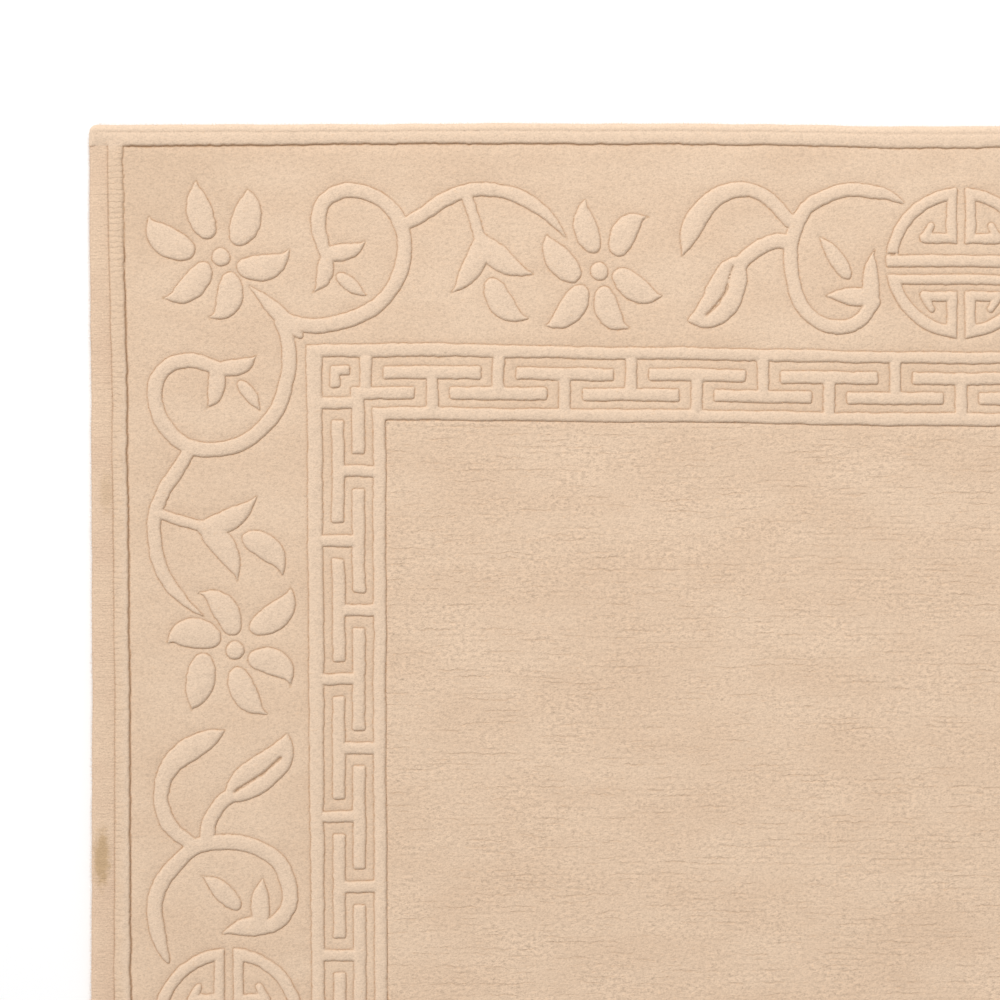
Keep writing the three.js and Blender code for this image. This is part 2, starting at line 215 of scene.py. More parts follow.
CORNER_FLOWER = {
    "centre": (136.5, 137),
    "petals": (
        {"base": (-12, -23), "tip": (-26, -80), "width": 27, "bend": -0.08},
        {"base": (17, -17), "tip": (27, -73), "width": 31, "bend": 0.1},
        {"base": (20, 9), "tip": (71, -8), "width": 27, "bend": 0.2},
        {"base": (9, 19), "tip": (-13, 63), "width": 27, "bend": -0.25},
        {"base": (-16, 9), "tip": (-61, 43), "width": 27, "bend": -0.16},
        {"base": (-32, -6), "tip": (-76, -43), "width": 31, "bend": -0.14},
    ),
}
BORDER_FLOWER = {
    "end": {
        "centre": (534, 152),
        "petals": (
            {"base": (-4, -22), "tip": (-14, -76), "width": 25, "bend": -0.12},
            {"base": (20, -19), "tip": (52, -57), "width": 27, "bend": -0.2},
            {"base": (20, 1), "tip": (66, 25), "width": 27, "bend": 0.13},
            {"base": (5, 19), "tip": (32, 59), "width": 26, "bend": 0.2},
            {"base": (-18, 18), "tip": (-57, 57), "width": 27, "bend": -0.14},
            {"base": (-25, 6), "tip": (-55, -38), "width": 28, "bend": -0.08},
        ),
    },
    "side": {
        "centre": (550, 151.5),
        "petals": (
            {"base": (-19, -2), "tip": (-60, -39), "width": 26, "bend": -0.19},
            {"base": (-23, 18), "tip": (-67, 58), "width": 28, "bend": -0.17},
            {"base": (9, 17), "tip": (38, 58), "width": 28, "bend": 0.24},
            {"base": (21, 2), "tip": (67, 33), "width": 27, "bend": -0.14},
            {"base": (8, -33), "tip": (62, -46), "width": 30, "bend": 0.04},
            {"base": (-12, -21), "tip": (-8, -70), "width": 31, "bend": -0.18},
        ),
    },
}
BOSS_RADIUS = 9.4
# How full a leaf is along its length, and where along it the bend is drawn to
LEAF_OUTLINE = {
    "along": (0, 0.02, 0.08, 0.18, 0.33, 0.46, 0.6, 0.74, 0.87, 0.95, 1),
    "fullness": (0, 0.36, 0.7, 0.92, 1, 0.93, 0.74, 0.46, 0.2, 0.08, 0.02),
    "belly": 0.33,
}
TIP_BEND = 0.66

# The round fretwork medallion: across and down from its middle
MEDALLION_AT = {"end": (915, 143), "side": (943, 145)}
MEDALLION = {
    "radius": 79,
    "ring": 12,
    "gap": 9,
    "upper_bar": (-8, 4),
    "lower_bar": (12, 22),
    "post": 10.5,
    "foot": 10,
    "foot_length": 34,
    "clear_above": 12.5,
    "clear_below": 7.5,
    "post_clearance": 1.5,
    "heel_rise": 5,
    "hook_from": 27,
    "hook_rise": 8,
    "hook_halves": (5, 3.4),
    "crisp_rounding": 0.5,
    "cut": 1.8,
}

# The carver's cut along a motif: distance out from the motif's edge, and the height of the pile there
CUT = {
    "distance": (-4.6, -2.7, -1.5, -0.6, 0.3, 1.1, 2.6),
    "height": (CARVED_TOP, CARVED_TOP - 0.2, CARVED_TOP - 0.65, CARVED_TOP - 1.35, CARVED_TOP - 2.8,
               PILE_TOP - 0.45, PILE_TOP),
}
CUT_LINES = CUT["distance"][1:]
CUT_BOTTOM = 0.4
CUT_SHADE_WIDTH = 1.1
DEEP_CUT_EXTRA = 0.7
# How the deep cut beside the guard across the end fades with the distance from the long side
DEEP_CUT_FADING = {"from_side": (0, 450, 800), "share": (1, 0.8, 0.3)}
# The rug's soft outer edge, and the pile beside a binding: distance in, and the most height there
RIM = {
    "inset": (0, 0.8, 2.2, 4.5, 7.6, 8.9, 10.2, 13),
    "height": (6.5, 9.4, 11.7, 13.4, 14.2, 13.6, 14.2, 15),
}
SEAM = {"inset": (0, 0.5, 1.3, 2.6, 4.5), "height": (12.2, 12.8, 13.5, 14.4, 15)}
RIM_LINES = (0.1, *RIM["inset"][1:])
SEAM_LINES = (0.1, *SEAM["inset"][1:4])
SEAM_SHADE = 1.0
SEAM_SHADE_WIDTH = 2.2
# How far the fuzzy edge stands out past the woven edge, at the drift stations
FLARE = {"end": (3.6, 4.3, 5.2, 4.6), "side": (3.2, 1.4, 1.6, 3.6)}
CORNER_RADIUS = 8
# The guard across an end carries on over the end of each binding: how far in from the end it reaches,
# how steeply it stops there, and how far the binding goes on under it
TONGUE = GUARD_ON_END + 0.8
TONGUE_SLOPE = 3.5
TONGUE_OVERLAP = 3.5

GRID_STEP = 1.5
GRID_MARGIN = 9
NEAR = 8
LINE_TOLERANCE = 0.12
LONGEST_STEP = 8
FILL_STEP = 13
# Cut distances at which points are added: on spines beside and on top of motifs, and in the open
SPINE_BESIDE = (1.8, 5)
SPINE_ON_TOP = (2.6, 6)
OPEN_FROM = 4.5

KNOT_ROW = 6.2

# The field: how its pile rises from the cut round it, and the distances between its points
FIELD_CUT = {
    "distance": (-0.6, 0, 1, 3),
    "height": (PILE_TOP - 1.4, PILE_TOP - 0.9, PILE_TOP - 0.5, PILE_TOP),
}
FIELD_EDGE = (-0.6, 0, 1.2, 2.4, 4.5)
FIELD_INNER_FROM = 7
FIELD_STEP_ACROSS = 28
FIELD_STEP_DOWN = KNOT_ROW / 4
KNOT_RIDGE = 0.1

# How many points a line along a whole side, and one across a whole end, is drawn with
SIDE_STATIONS = 139
END_STATIONS = 93
# Pile edges steeper than this stay crisp, in degrees
CRISP_ANGLE = 62


# Unevenness of hand work: how far each goes, over what lengths across and along

HAND_WANDER = ((0.55, (31, 27)), (0.6, (110, 90)))
CARVING_WANDER = ((0.55, (4.6, 4.2)), (0.45, (13, 11)))
PILE_WANDER = ((0.22, (170, 120)), (0.14, (60, 26)), (0.07, (14, 8)))


def wander(places, wavelengths, seed):
    """Smooth unevenness between -1 and 1, the same on every run."""
    cells = 512
    lattice = np.random.default_rng(seed).uniform(-1, 1, (cells, cells))
    at = places[:, :2] / np.asarray(wavelengths) + cells / 3
    cell = np.floor(at).astype(int)
    share = at - cell
    share = share * share * (3 - 2 * share)

    def corner(i, j):
        return lattice[(cell[:, 0] + i) % cells, (cell[:, 1] + j) % cells]

    low = corner(0, 0) * (1 - share[:, 0]) + corner(1, 0) * share[:, 0]
    high = corner(0, 1) * (1 - share[:, 0]) + corner(1, 1) * share[:, 0]
    return low * (1 - share[:, 1]) + high * share[:, 1]


def hand_moved(places):
    """Places in the rug's frame, moved a little, as a hand-drawn and hand-cut line wanders."""
    moved = places.copy()
    for axis, seed in ((0, 11), (1, 23)):
        for i, (amount, lengths) in enumerate(HAND_WANDER):
            moved[:, axis] += amount * wander(places, lengths, seed + i)
    return moved


def pile_unevenness(places):
    """How far the sheared pile rises or falls at each place."""
    return sum(amount * wander(places, lengths, 5 + i) for i, (amount, lengths) in enumerate(PILE_WANDER))


# Places along a side


def drift(kind, along, inward):
    """How far a line at that distance inward has wandered, at each distance along."""
    reach = np.clip(along, DRIFT_STATIONS[0], DRIFT_STATIONS[-1])
    after = np.clip(np.searchsorted(DRIFT_STATIONS, reach), 1, len(DRIFT_STATIONS) - 1)
    stations = np.array(DRIFT_STATIONS, float)
    share = (reach - stations[after - 1]) / (stations[after] - stations[after - 1])
    share = share * share * (3 - 2 * share)
    rows = []
    for amounts in DRIFT[kind].values():
        amounts = np.array(amounts, float)
        rows.append(amounts[after - 1] * (1 - share) + amounts[after] * share)
    rows = np.array(rows)
    lines = np.array(list(DRIFT[kind]), float)
    depth = np.clip(inward, lines[0], lines[-1])
    row = np.clip(np.searchsorted(lines, depth), 1, len(lines) - 1)
    between = (depth - lines[row - 1]) / (lines[row] - lines[row - 1])
    column = np.arange(len(reach))
    return rows[row - 1, column] * (1 - between) + rows[row, column] * between


def as_seen_from(kind, places):
    """Places of a quarter, which are from the long side and from the end, as along and inward."""
    return places if kind == "end" else places[:, ::-1]


def straightened(kind, places):
    """The same places with the wander of the border's lines taken out."""
    straight = places.copy()
    straight[:, 1] -= drift(kind, places[:, 0], places[:, 1])
    return straight


def flare(kind, along):
    """How far the fuzzy edge stands out, at each distance along."""
    return np.interp(along, DRIFT_STATIONS, FLARE[kind])


def inset(places, on_end, on_side):
    """How far inside a line that runs round the rug each place of a quarter is."""
    from_side, from_end = places[:, 0], places[:, 1]
    past_end = from_end - on_end - drift("end", from_side, np.full(len(places), float(on_end)))
    past_side = from_side - on_side - drift("side", from_end, np.full(len(places), float(on_side)))
    return np.minimum(past_end, past_side)


# Shapes that the carver leaves raised. Each gives its distance: below 0 on it, above 0 beside it


class Stroke:
    """A line that swells and narrows, such as a stem, a leaf or a flower's boss."""

    def __init__(self, line, halves):
        self.line = np.array(line, float)
        self.halves = np.array(halves, float)
        reach = self.halves.max()
        self.low = self.line.min(0) - reach
        self.high = self.line.max(0) + reach

    def distance(self, places):
        nearest = np.full(len(places), np.inf)
        for i in range(len(self.line) - 1):
            start, along = self.line[i], self.line[i + 1] - self.line[i]
            share = np.clip((places - start) @ along / max(along @ along, 1e-9), 0, 1)
            away = np.linalg.norm(places - start - share[:, None] * along, axis=1)
            half = self.halves[i] + share * (self.halves[i + 1] - self.halves[i])
            nearest = np.minimum(nearest, away - half)
        return nearest


class Bar:
    """A straight bar with slightly rounded corners."""

    def __init__(self, low, high, rounding=BAR_ROUNDING):
        self.low = np.array(low, float)
        self.high = np.array(high, float)
        self.rounding = rounding

    def distance(self, places):
        middle, half = (self.low + self.high) / 2, (self.high - self.low) / 2
        past = np.abs(places - middle) - half + self.rounding
        outside = np.linalg.norm(np.maximum(past, 0), axis=1)
        return outside + np.minimum(past.max(1), 0) - self.rounding


class Medallion:
    """A round fretwork medallion, alike on both sides of the gap that runs down its middle."""

    def __init__(self, kind, centre):
        self.upright = kind == "side"
        self.centre = np.array(centre, float)
        self.low = self.centre - MEDALLION["radius"]
        self.high = self.centre + MEDALLION["radius"]

    def distance(self, places):
        m = MEDALLION
        local = places - self.centre
        if self.upright:
            local = local[:, ::-1]
        across, down = np.abs(local[:, 0]), local[:, 1]
        radius = np.hypot(across, down)
        beside_gap = m["gap"] / 2 - across
        ring = np.maximum(np.abs(radius - m["radius"] + m["ring"] / 2) - m["ring"] / 2, beside_gap)
        above, below = -m["upper_bar"][0] + m["cut"], m["lower_bar"][0]
        shapes = [np.maximum(ring, down + above), np.maximum(ring, below - down)]
        folded = np.stack([across, down], axis=1)
        for top, bottom in (m["upper_bar"], m["lower_bar"]):
            bar = Bar((-m["radius"], top), (m["radius"], bottom)).distance(folded)
            shapes.append(np.maximum(bar, radius - m["radius"]))
        halves = ((-1, -m["upper_bar"][0] + m["clear_above"]), (1, m["lower_bar"][1] + m["clear_below"]))
        for way, foot_at in halves:
            turned = np.stack([across, way * down], axis=1)
            shapes += [shape.distance(turned) for shape in self.post_and_foot(foot_at)]
        return np.minimum.reduce(shapes)

    @staticmethod
    def post_and_foot(foot_at):
        """The post beside the gap, its foot and the foot's hook."""
        m = MEDALLION
        side = m["gap"] / 2
        foot_end = foot_at + m["foot"]
        post_end = (side + m["post"], m["radius"] - m["post_clearance"])
        post = Bar((side, foot_at), post_end, m["crisp_rounding"])
        foot = Bar((side, foot_at), (side + m["foot_length"], foot_end))
        heel = (side + m["foot_length"], foot_at + m["heel_rise"])
        peak = (side + m["hook_from"], foot_end + m["hook_rise"])
        return [post, foot, Stroke([heel, peak], m["hook_halves"])]


def smooth_line(points, steps=7):
    """A smooth line through points, as a bent rod would lie."""
    points = np.array(points, float)
    first, last = 2 * points[0] - points[1], 2 * points[-1] - points[-2]
    padded = np.vstack([first, points, last])
    line = []
    for i in range(1, len(padded) - 2):
        a, b, c, d = padded[i - 1:i + 3]
        for t in np.arange(steps) / steps:
            line.append(0.5 * (2 * b + (c - a) * t + (2 * a - 5 * b + 4 * c - d) * t * t
                               + (3 * b - a - 3 * c + d) * t ** 3))
    line.append(points[-1])
    return np.array(line)


def stem(points, widths, taper=0.1):
    line = smooth_line(points)
    lengths = np.linalg.norm(np.diff(line, axis=0), axis=1)
    share = np.concatenate([[0], np.cumsum(lengths)]) / lengths.sum()
    start, middle, end = widths
    nearest = np.where(share < 0.5, start, end)
    full = np.clip(np.minimum(share, 1 - share) / taper, 0, 1) ** 0.6
    return Stroke(line, (nearest + (middle - nearest) * full) / 2)


def blade(points, widths):
    """A blade that swells and narrows by the widths at its points."""
    drawn = smooth_line(np.column_stack([points, widths]))
    return Stroke(drawn[:, :2], np.maximum(drawn[:, 2], 0) / 2)


def leaf(base, tip, width, bend, centre=(0, 0), belly=LEAF_OUTLINE["belly"]):
    """A leaf or petal: blunt at its base, widest at its belly, with a drawn-out tip."""
    start = np.array(base, float) + centre
    end = np.array(tip, float) + centre
    chord = end - start
    control = start + TIP_BEND * chord + 2 * bend * np.array([-chord[1], chord[0]])
    t = np.linspace(0, 1, 24)[:, None] ** 1.4
    line = (1 - t) ** 2 * start + 2 * t * (1 - t) * control + t * t * end
    at = t[:, 0] ** (math.log(LEAF_OUTLINE["belly"]) / math.log(belly))
    return Stroke(line, width / 2 * np.interp(at, LEAF_OUTLINE["along"], LEAF_OUTLINE["fullness"]))


def flower(centre, petals):
    boss = Stroke([centre, centre], (BOSS_RADIUS, BOSS_RADIUS))
    return [boss, *(leaf(**petal, centre=centre) for petal in petals)]


def moved_along(shape, place_along):
    """A stroke with its places along the side changed by a function."""
    line = shape.line.copy()
    line[:, 0] = place_along(line[:, 0])
    return Stroke(line, shape.halves)


# What stands along each side


def vine_shapes(kind):
    """The vine, flowers and medallions of half a side, from its corner."""
    corner = [stem(**row) for row in CORNER_STEMS] + [blade(**row) for row in CORNER_BLADES]
    corner += [leaf(**row) for row in CORNER_LEAVES]
    stretch = CORNER_STRETCH[kind]
    shapes = [moved_along(shape, lambda along: along * stretch) for shape in corner]
    spray = [stem(**row) for row in SPRAY_STEMS[kind]] + [blade(**row) for row in SPRAY_BLADES[kind]]
    spray += [leaf(**row) for row in SPRAY_LEAVES[kind]]
    shapes += spray + flower(**BORDER_FLOWER[kind])
    shapes.append(Medallion(kind, MEDALLION_AT[kind]))
    if kind == "side":
        turn = MEDALLION_AT["side"][0]
        factor = (HALF_LENGTH - turn) / (turn - BORDER_FLOWER["side"]["centre"][0])
        shapes += [moved_along(shape, lambda along: turn + (turn - along) * factor) for shape in spray]
    return shapes


def middle_flower(mirrored):
    """The flower at the middle of a long side, as one quarter or its neighbour meets it."""
    shapes = flower((HALF_LENGTH, BORDER_FLOWER["side"]["centre"][1]), BORDER_FLOWER["side"]["petals"])
    if mirrored:
        return [moved_along(shape, lambda along: 2 * HALF_LENGTH - along) for shape in shapes]
    return shapes


def parting(kind):
    return Stroke(LEAF_PARTING[kind], np.full(len(LEAF_PARTING[kind]), PARTING_WIDTH / 2))


def fret_shapes(kind):
    """The T shapes of half a side: odd ones stand on the inner rail, even ones hang from the outer."""
    half, steps = (HALF_WIDTH, 9) if kind == "end" else (HALF_LENGTH, 15)
    pitch = (half - CORNER_STEM) / steps
    half_bar = pitch - BAR_CLEARANCE / 2
    shapes = []
    for i in range(steps + 1):
        middle = CORNER_STEM + i * pitch
        hanging = i % 2 == 0
        row = INNER_ROW if hanging else OUTER_ROW
        bar_from = CORNER_BAR_START if i == 0 else middle - half_bar
        reach = (OUTER_RAIL[1] - OVERLAP, row[0] + OVERLAP) if hanging else (row[1] - OVERLAP,
                                                                            INNER_RAIL[0] + OVERLAP)
        shapes.append(Bar((bar_from, row[0]), (middle + half_bar, row[1])))
        shapes.append(Bar((middle - STEM_WIDTH / 2, reach[0]), (middle + STEM_WIDTH / 2, reach[1]), 0.5))
    shapes.append(Bar((HOOK["from"], HOOK["from"]), (HOOK["to"], HOOK["from"] + HOOK["width"])))
    return shapes


SHAPES = {kind: {"vine": vine_shapes(kind), "fret": fret_shapes(kind)} for kind in ("end", "side")}
PARTINGS = {kind: [parting(kind)] for kind in ("end", "side")}
CORNER_SHAPES = [*flower(**CORNER_FLOWER), leaf(**CORNER_SPRIG)]


def lower_to(nearest, places, shapes):
    """Brings each distance down to that of the nearest of these shapes."""
    for shape in shapes:
        near = np.all((places > shape.low - NEAR) & (places < shape.high + NEAR), axis=1)
        at = np.flatnonzero(near)
        if len(at):
            nearest[at] = np.minimum(nearest[at], shape.distance(places[at]))


def parted(nearest, places, cuts):
    """Opens these cuts in whatever is raised there."""
    for cut in cuts:
        at = np.flatnonzero(np.all((places > cut.low - NEAR) & (places < cut.high + NEAR), axis=1))
        if len(at):
            nearest[at] = np.maximum(nearest[at], -cut.distance(places[at]))


def carving_distance(places, mirrored):
    """How far each place of a quarter is from the nearest raised motif; below 0 on a motif."""
    nearest = np.full(len(places), float(NEAR))
    lower_to(nearest, places, CORNER_SHAPES)
    for kind, shapes in SHAPES.items():
        seen = as_seen_from(kind, places)
        lower_to(nearest, seen, shapes["vine"])
        parted(nearest, seen, PARTINGS[kind])
        lower_to(nearest, straightened(kind, seen), shapes["fret"])
    lower_to(nearest, as_seen_from("side", places), middle_flower(mirrored))
    bands = [
        (inset(places, GUARD_ON_END, GUARD_ON_SIDE), np.full(len(places), 99.0)),
        (inset(places, OUTER_RAIL[1], OUTER_RAIL[1]), inset(places, OUTER_RAIL[0], OUTER_RAIL[0])),
        (inset(places, INNER_RAIL[1], INNER_RAIL[1]), inset(places, INNER_RAIL[0], INNER_RAIL[0])),
    ]
    for past_inner, past_outer in bands:
        nearest = np.minimum(nearest, np.maximum(past_inner, -past_outer))
    for i, (amount, lengths) in enumerate(CARVING_WANDER):
        nearest = nearest + amount * wander(places, lengths, 41 + i)
    return nearest


def rim_inset(places):
    """How far inside the rug's fuzzy outer edge each place is, round the corner too."""
    from_side, from_end = places[:, 0], places[:, 1]
    zero = np.zeros(len(places))
    inside_side = from_side - drift("side", from_end, zero) + flare("side", from_end)
    inside_end = from_end - drift("end", from_side, zero) + flare("end", from_side)
    nearest = np.minimum(inside_side, inside_end)
    short = np.maximum(CORNER_RADIUS - np.stack([inside_side, inside_end]), 0)
    return np.where(nearest < CORNER_RADIUS, CORNER_RADIUS - np.hypot(*short), nearest)


def seam_inset(places):
    """How far each place is from the binding's seam, which stops short of the guard across the end."""
    from_side, from_end = places[:, 0], places[:, 1]
    past_seam = from_side - BODY_SIDE - drift("side", from_end, np.full(len(places), BODY_SIDE))
    above_tongue = TONGUE + drift("end", from_side, np.full(len(places), TONGUE)) - from_end
    return np.maximum(past_seam, above_tongue / TONGUE_SLOPE)


def field_inset(places):
    """How far past the cut that parts the border from the field each place is."""
    return inset(places, INNER_RAIL[1] + CUT_BOTTOM, INNER_RAIL[1] + CUT_BOTTOM)


# Lines of equal distance, found on a grid


def crossings(values, level):
    """Points at which gridded values cross a level, and pairs of them that are neighbours."""
    above = values - level
    above[above == 0] = 1e-9
    sign = above > 0
    flat = sign[:, :-1] != sign[:, 1:]
    steep = sign[:-1] != sign[1:]
    flat_ids = np.full(flat.shape, -1)
    flat_ids[flat] = np.arange(flat.sum())
    steep_ids = np.full(steep.shape, -1)
    steep_ids[steep] = flat.sum() + np.arange(steep.sum())
    row, column = np.nonzero(flat)
    share = above[row, column] / (above[row, column] - above[row, column + 1])
    on_flat = np.stack([column + share, row], axis=1)
    row, column = np.nonzero(steep)
    share = above[row, column] / (above[row, column] - above[row + 1, column])
    on_steep = np.stack([column, row + share], axis=1)
    around = np.stack([flat_ids[:-1], steep_ids[:, 1:], flat_ids[1:], steep_ids[:, :-1]], axis=-1)
    around = around.reshape(-1, 4)
    count = (around >= 0).sum(1)
    two = around[count == 2]
    four = around[count == 4]
    pairs = np.vstack([two[two >= 0].reshape(-1, 2), four[:, [0, 3]], four[:, [1, 2]]])
    return np.vstack([on_flat, on_steep]), pairs


def chained(pairs):
    """Neighbours joined into chains. A closed chain ends where it starts."""
    links = {}
    for a, b in pairs.tolist():
        links.setdefault(a, []).append(b)
        links.setdefault(b, []).append(a)
    starts = [at for at, to in links.items() if len(to) == 1] + list(links)
    seen = set()
    chains = []
    for start in starts:
        if start in seen:
            continue
        chain = [start]
        seen.add(start)
        while True:
            onward = [at for at in links[chain[-1]] if at not in seen]
            if not onward:
                break
            chain.append(onward[0])
            seen.add(onward[0])
        if len(chain) > 2 and start in links[chain[-1]]:
            chain.append(start)
        chains.append(chain)
    return chains


def thinned(line):
    """The points that keep a line's shape, and one every few millimetres."""
    keep = np.zeros(len(line), bool)
    keep[::LONGEST_STEP] = True
    keep[-1] = True
    kept = np.flatnonzero(keep)
    todo = list(zip(kept[:-1], kept[1:]))
    while todo:
        first, last = todo.pop()
        if last - first < 2:
            continue
        chord = line[last] - line[first]
        rest = line[first + 1:last] - line[first]
        away = np.abs(rest[:, 0] * chord[1] - rest[:, 1] * chord[0]) / max(np.hypot(*chord), 1e-6)
        far = int(away.argmax())
        if away[far] * GRID_STEP > LINE_TOLERANCE:
            keep[first + 1 + far] = True
            todo += [(first, first + 1 + far), (first + 1 + far, last)]
    return line[keep]


class Web:
    """Points and the lines between them, which the pile's surface is stretched over."""

    def __init__(self):
        self.points = []
        self.edges = []
        self.count = 0

    def add_line(self, line):
        self.points.append(line)
        self.edges += [(self.count + i, self.count + i + 1) for i in range(len(line) - 1)]
        self.count += len(line)

    def add_points(self, points):
        self.points.append(points)
        self.count += len(points)

    def triangles(self):
        corners = [Vector(point) for point in np.vstack(self.points)]
        made = delaunay_2d_cdt(corners, self.edges, [], 0, 1e-3, False)
        return np.array([point[:] for point in made[0]]), np.array(made[2])


def quarter_grid():
    from_side = np.arange(-GRID_MARGIN, HALF_WIDTH + GRID_MARGIN, GRID_STEP)
    from_end = np.arange(-GRID_MARGIN, HALF_LENGTH + GRID_MARGIN, GRID_STEP)
    across, down = np.meshgrid(from_side, from_end)
    return np.stack([across, down], axis=-1)


def ridges(values):
    """Where the gridded values are higher than on both sides, in either direction."""
    ridge = np.zeros(values.shape, bool)
    middle = values[1:-1, 1:-1]
    ridge[1:-1, 1:-1] = (middle > values[1:-1, :-2]) & (middle >= values[1:-1, 2:])
    ridge[1:-1, 1:-1] |= (middle > values[:-2, 1:-1]) & (middle >= values[2:, 1:-1])
    return ridge


def quarter_surface(mirrored):
    """The carved border of a quarter: its places, their cut distance and the triangles."""
    grid = quarter_grid()
    shape = grid.shape[:2]
    places = grid.reshape(-1, 2)
    cut = carving_distance(places, mirrored).reshape(shape)
    rim = rim_inset(places).reshape(shape)
    seam = seam_inset(places).reshape(shape)
    inner = field_inset(places).reshape(shape)
    web = Web()

    def add_lines(values, level, wanted):
        points, pairs = crossings(values.copy(), level)
        for chain in chained(pairs):
            line = points[chain]
            middle = np.round(line[len(line) // 2]).astype(int)
            if wanted[middle[1], middle[0]] and len(line) > 3:
                web.add_line(thinned(line) * GRID_STEP - GRID_MARGIN)

    everywhere = np.ones(shape, bool)
    for level in CUT_LINES:
        add_lines(cut, level, inner < 6)
    for level in RIM_LINES:
        add_lines(rim, level, everywhere)
    for level in SEAM_LINES:
        add_lines(seam, level, rim > -4)
    add_lines(inner, 0, everywhere)

    rows, columns = np.indices(shape)
    beside = (cut > SPINE_BESIDE[0]) & (cut < SPINE_BESIDE[1])
    on_top = (-cut > SPINE_ON_TOP[0]) & (-cut < SPINE_ON_TOP[1])
    spine = (ridges(cut) & beside) | (ridges(-cut) & on_top)
    spine &= (rows + columns) % 3 == 0
    every = round(FILL_STEP / GRID_STEP)
    staggered = (columns + (rows // every) % 2 * (every // 2)) % every == 0
    open_ground = (np.abs(cut) > OPEN_FROM) & (rows % every == 0) & staggered
    chosen = (spine | open_ground) & (inner < -1) & (rim > 1) & (seam > 3)
    web.add_points(grid[chosen])
    web.add_line(np.array([(HALF_WIDTH, -GRID_MARGIN), (HALF_WIDTH, HALF_LENGTH + GRID_MARGIN)]))
    web.add_line(np.array([(-GRID_MARGIN, HALF_LENGTH), (HALF_WIDTH + GRID_MARGIN, HALF_LENGTH)]))

    points, triangles = web.triangles()
    centres = points[triangles].mean(1)
    inside = (centres[:, 0] < HALF_WIDTH) & (centres[:, 1] < HALF_LENGTH)
    inside &= (rim_inset(centres) > RIM_LINES[0]) & (seam_inset(centres) > SEAM_LINES[0])
    inside &= field_inset(centres) < 0
    triangles = triangles[inside]
    used, triangles = np.unique(triangles, return_inverse=True)
    points = points[used]
    return points, carving_distance(points, mirrored), triangles.reshape(-1, 3)


# Meshes


def linked(name, data):
    """A new object with this mesh, light or camera, in the scene."""
    made = bpy.data.objects.new(name, data)
    bpy.context.scene.collection.objects.link(made)
    return made


def made_object(name, mesh, material):
    mesh.materials.clear()
    mesh.materials.append(material)
    return linked(name, mesh)


def closed_below(points, faces, floor):
    """Adds walls down from a surface's open edge, and a flat underside. Loops of edges are closed."""
    directed = {}
    for face in faces:
        for i, start in enumerate(face):
            directed[(start, face[(i + 1) % len(face)])] = True
    onward = {start: end for start, end in directed if (end, start) not in directed}
    below = {at: len(points) + i for i, at in enumerate(onward)}
    bottom = points[list(onward)].copy()
    for axis, half in enumerate((HALF_WIDTH - PILE_ROOT_INSET, HALF_LENGTH - PILE_ROOT_INSET)):
        bottom[:, axis] = np.clip(bottom[:, axis], -half, half)
    bottom[:, 2] = floor
    faces = list(faces)
    faces += [(end, start, below[start], below[end]) for start, end in onward.items()]
    left = dict(onward)
    while left:
        first, at = left.popitem()
        loop = [first]
        while at != first:
            loop.append(at)
            at = left.pop(at)
        faces.append([below[corner] for corner in reversed(loop)])
    return np.vstack([points, bottom]), faces


def pile_mesh(name, points, faces, shading):
    """A closed mesh of pile standing on the foundation, with its shading kept on its points."""
    all_points, all_faces = closed_below(points, faces, FOUNDATION_TOP - PILE_ROOT)
    mesh = bpy.data.meshes.new(name)
    mesh.from_pydata((all_points * MM).tolist(), [], all_faces)
    for title, values in shading.items():
        layer = mesh.attributes.new(title, "FLOAT", "POINT")
        padded = np.zeros(len(all_points), np.float32)
        padded[:len(values)] = values
        layer.data.foreach_set("value", padded)
    mesh.polygons.foreach_set("use_smooth", [True] * len(mesh.polygons))
    mesh.set_sharp_from_angle(angle=math.radians(CRISP_ANGLE))
    mesh.validate()
    return mesh


def groove_depth(distance, deep):
    """1 in the bottom of the carver's cut and 0 outside it. A deep cut is wider."""
    return np.clip(1 - np.abs(distance - CUT_BOTTOM) / (CUT_SHADE_WIDTH * (1 + 0.6 * deep)), 0, 1)


def deep_cut(places):
    """How much deeper the cut beside the guard across the end is, which fades away from the corner."""
    beside = np.abs(inset(places, GUARD_ON_END, GUARD_ON_SIDE) - CUT_BOTTOM)
    across_end = places[:, 0] > GUARD_ON_SIDE - 1
    fading = np.interp(places[:, 0], DEEP_CUT_FADING["from_side"], DEEP_CUT_FADING["share"])
    return np.clip(1.5 - beside / 3, 0, 1) * across_end * fading


def shading_of(distance, guard, open_field, deep):
    """How raised the pile is, how much shade is painted in the carver's cut, and whether it is guard or
    field.
    """
    raised = np.clip(-distance / 1.1, 0, 1)
    # Painted shade in the carver's cut: darkest at its bottom, darker and wider in the deep cut beside the
    # guard
    groove = groove_depth(distance, deep) * (1 + 0.7 * deep)
    return {"raised": raised, "groove": groove, "guard": guard, "open_field": open_field}


def in_rug(points, corner):
    """Places of a quarter in the rug's frame. A corner is -1 or 1 for x and for y."""
    return np.array(corner) * ((HALF_WIDTH, HALF_LENGTH) - points)


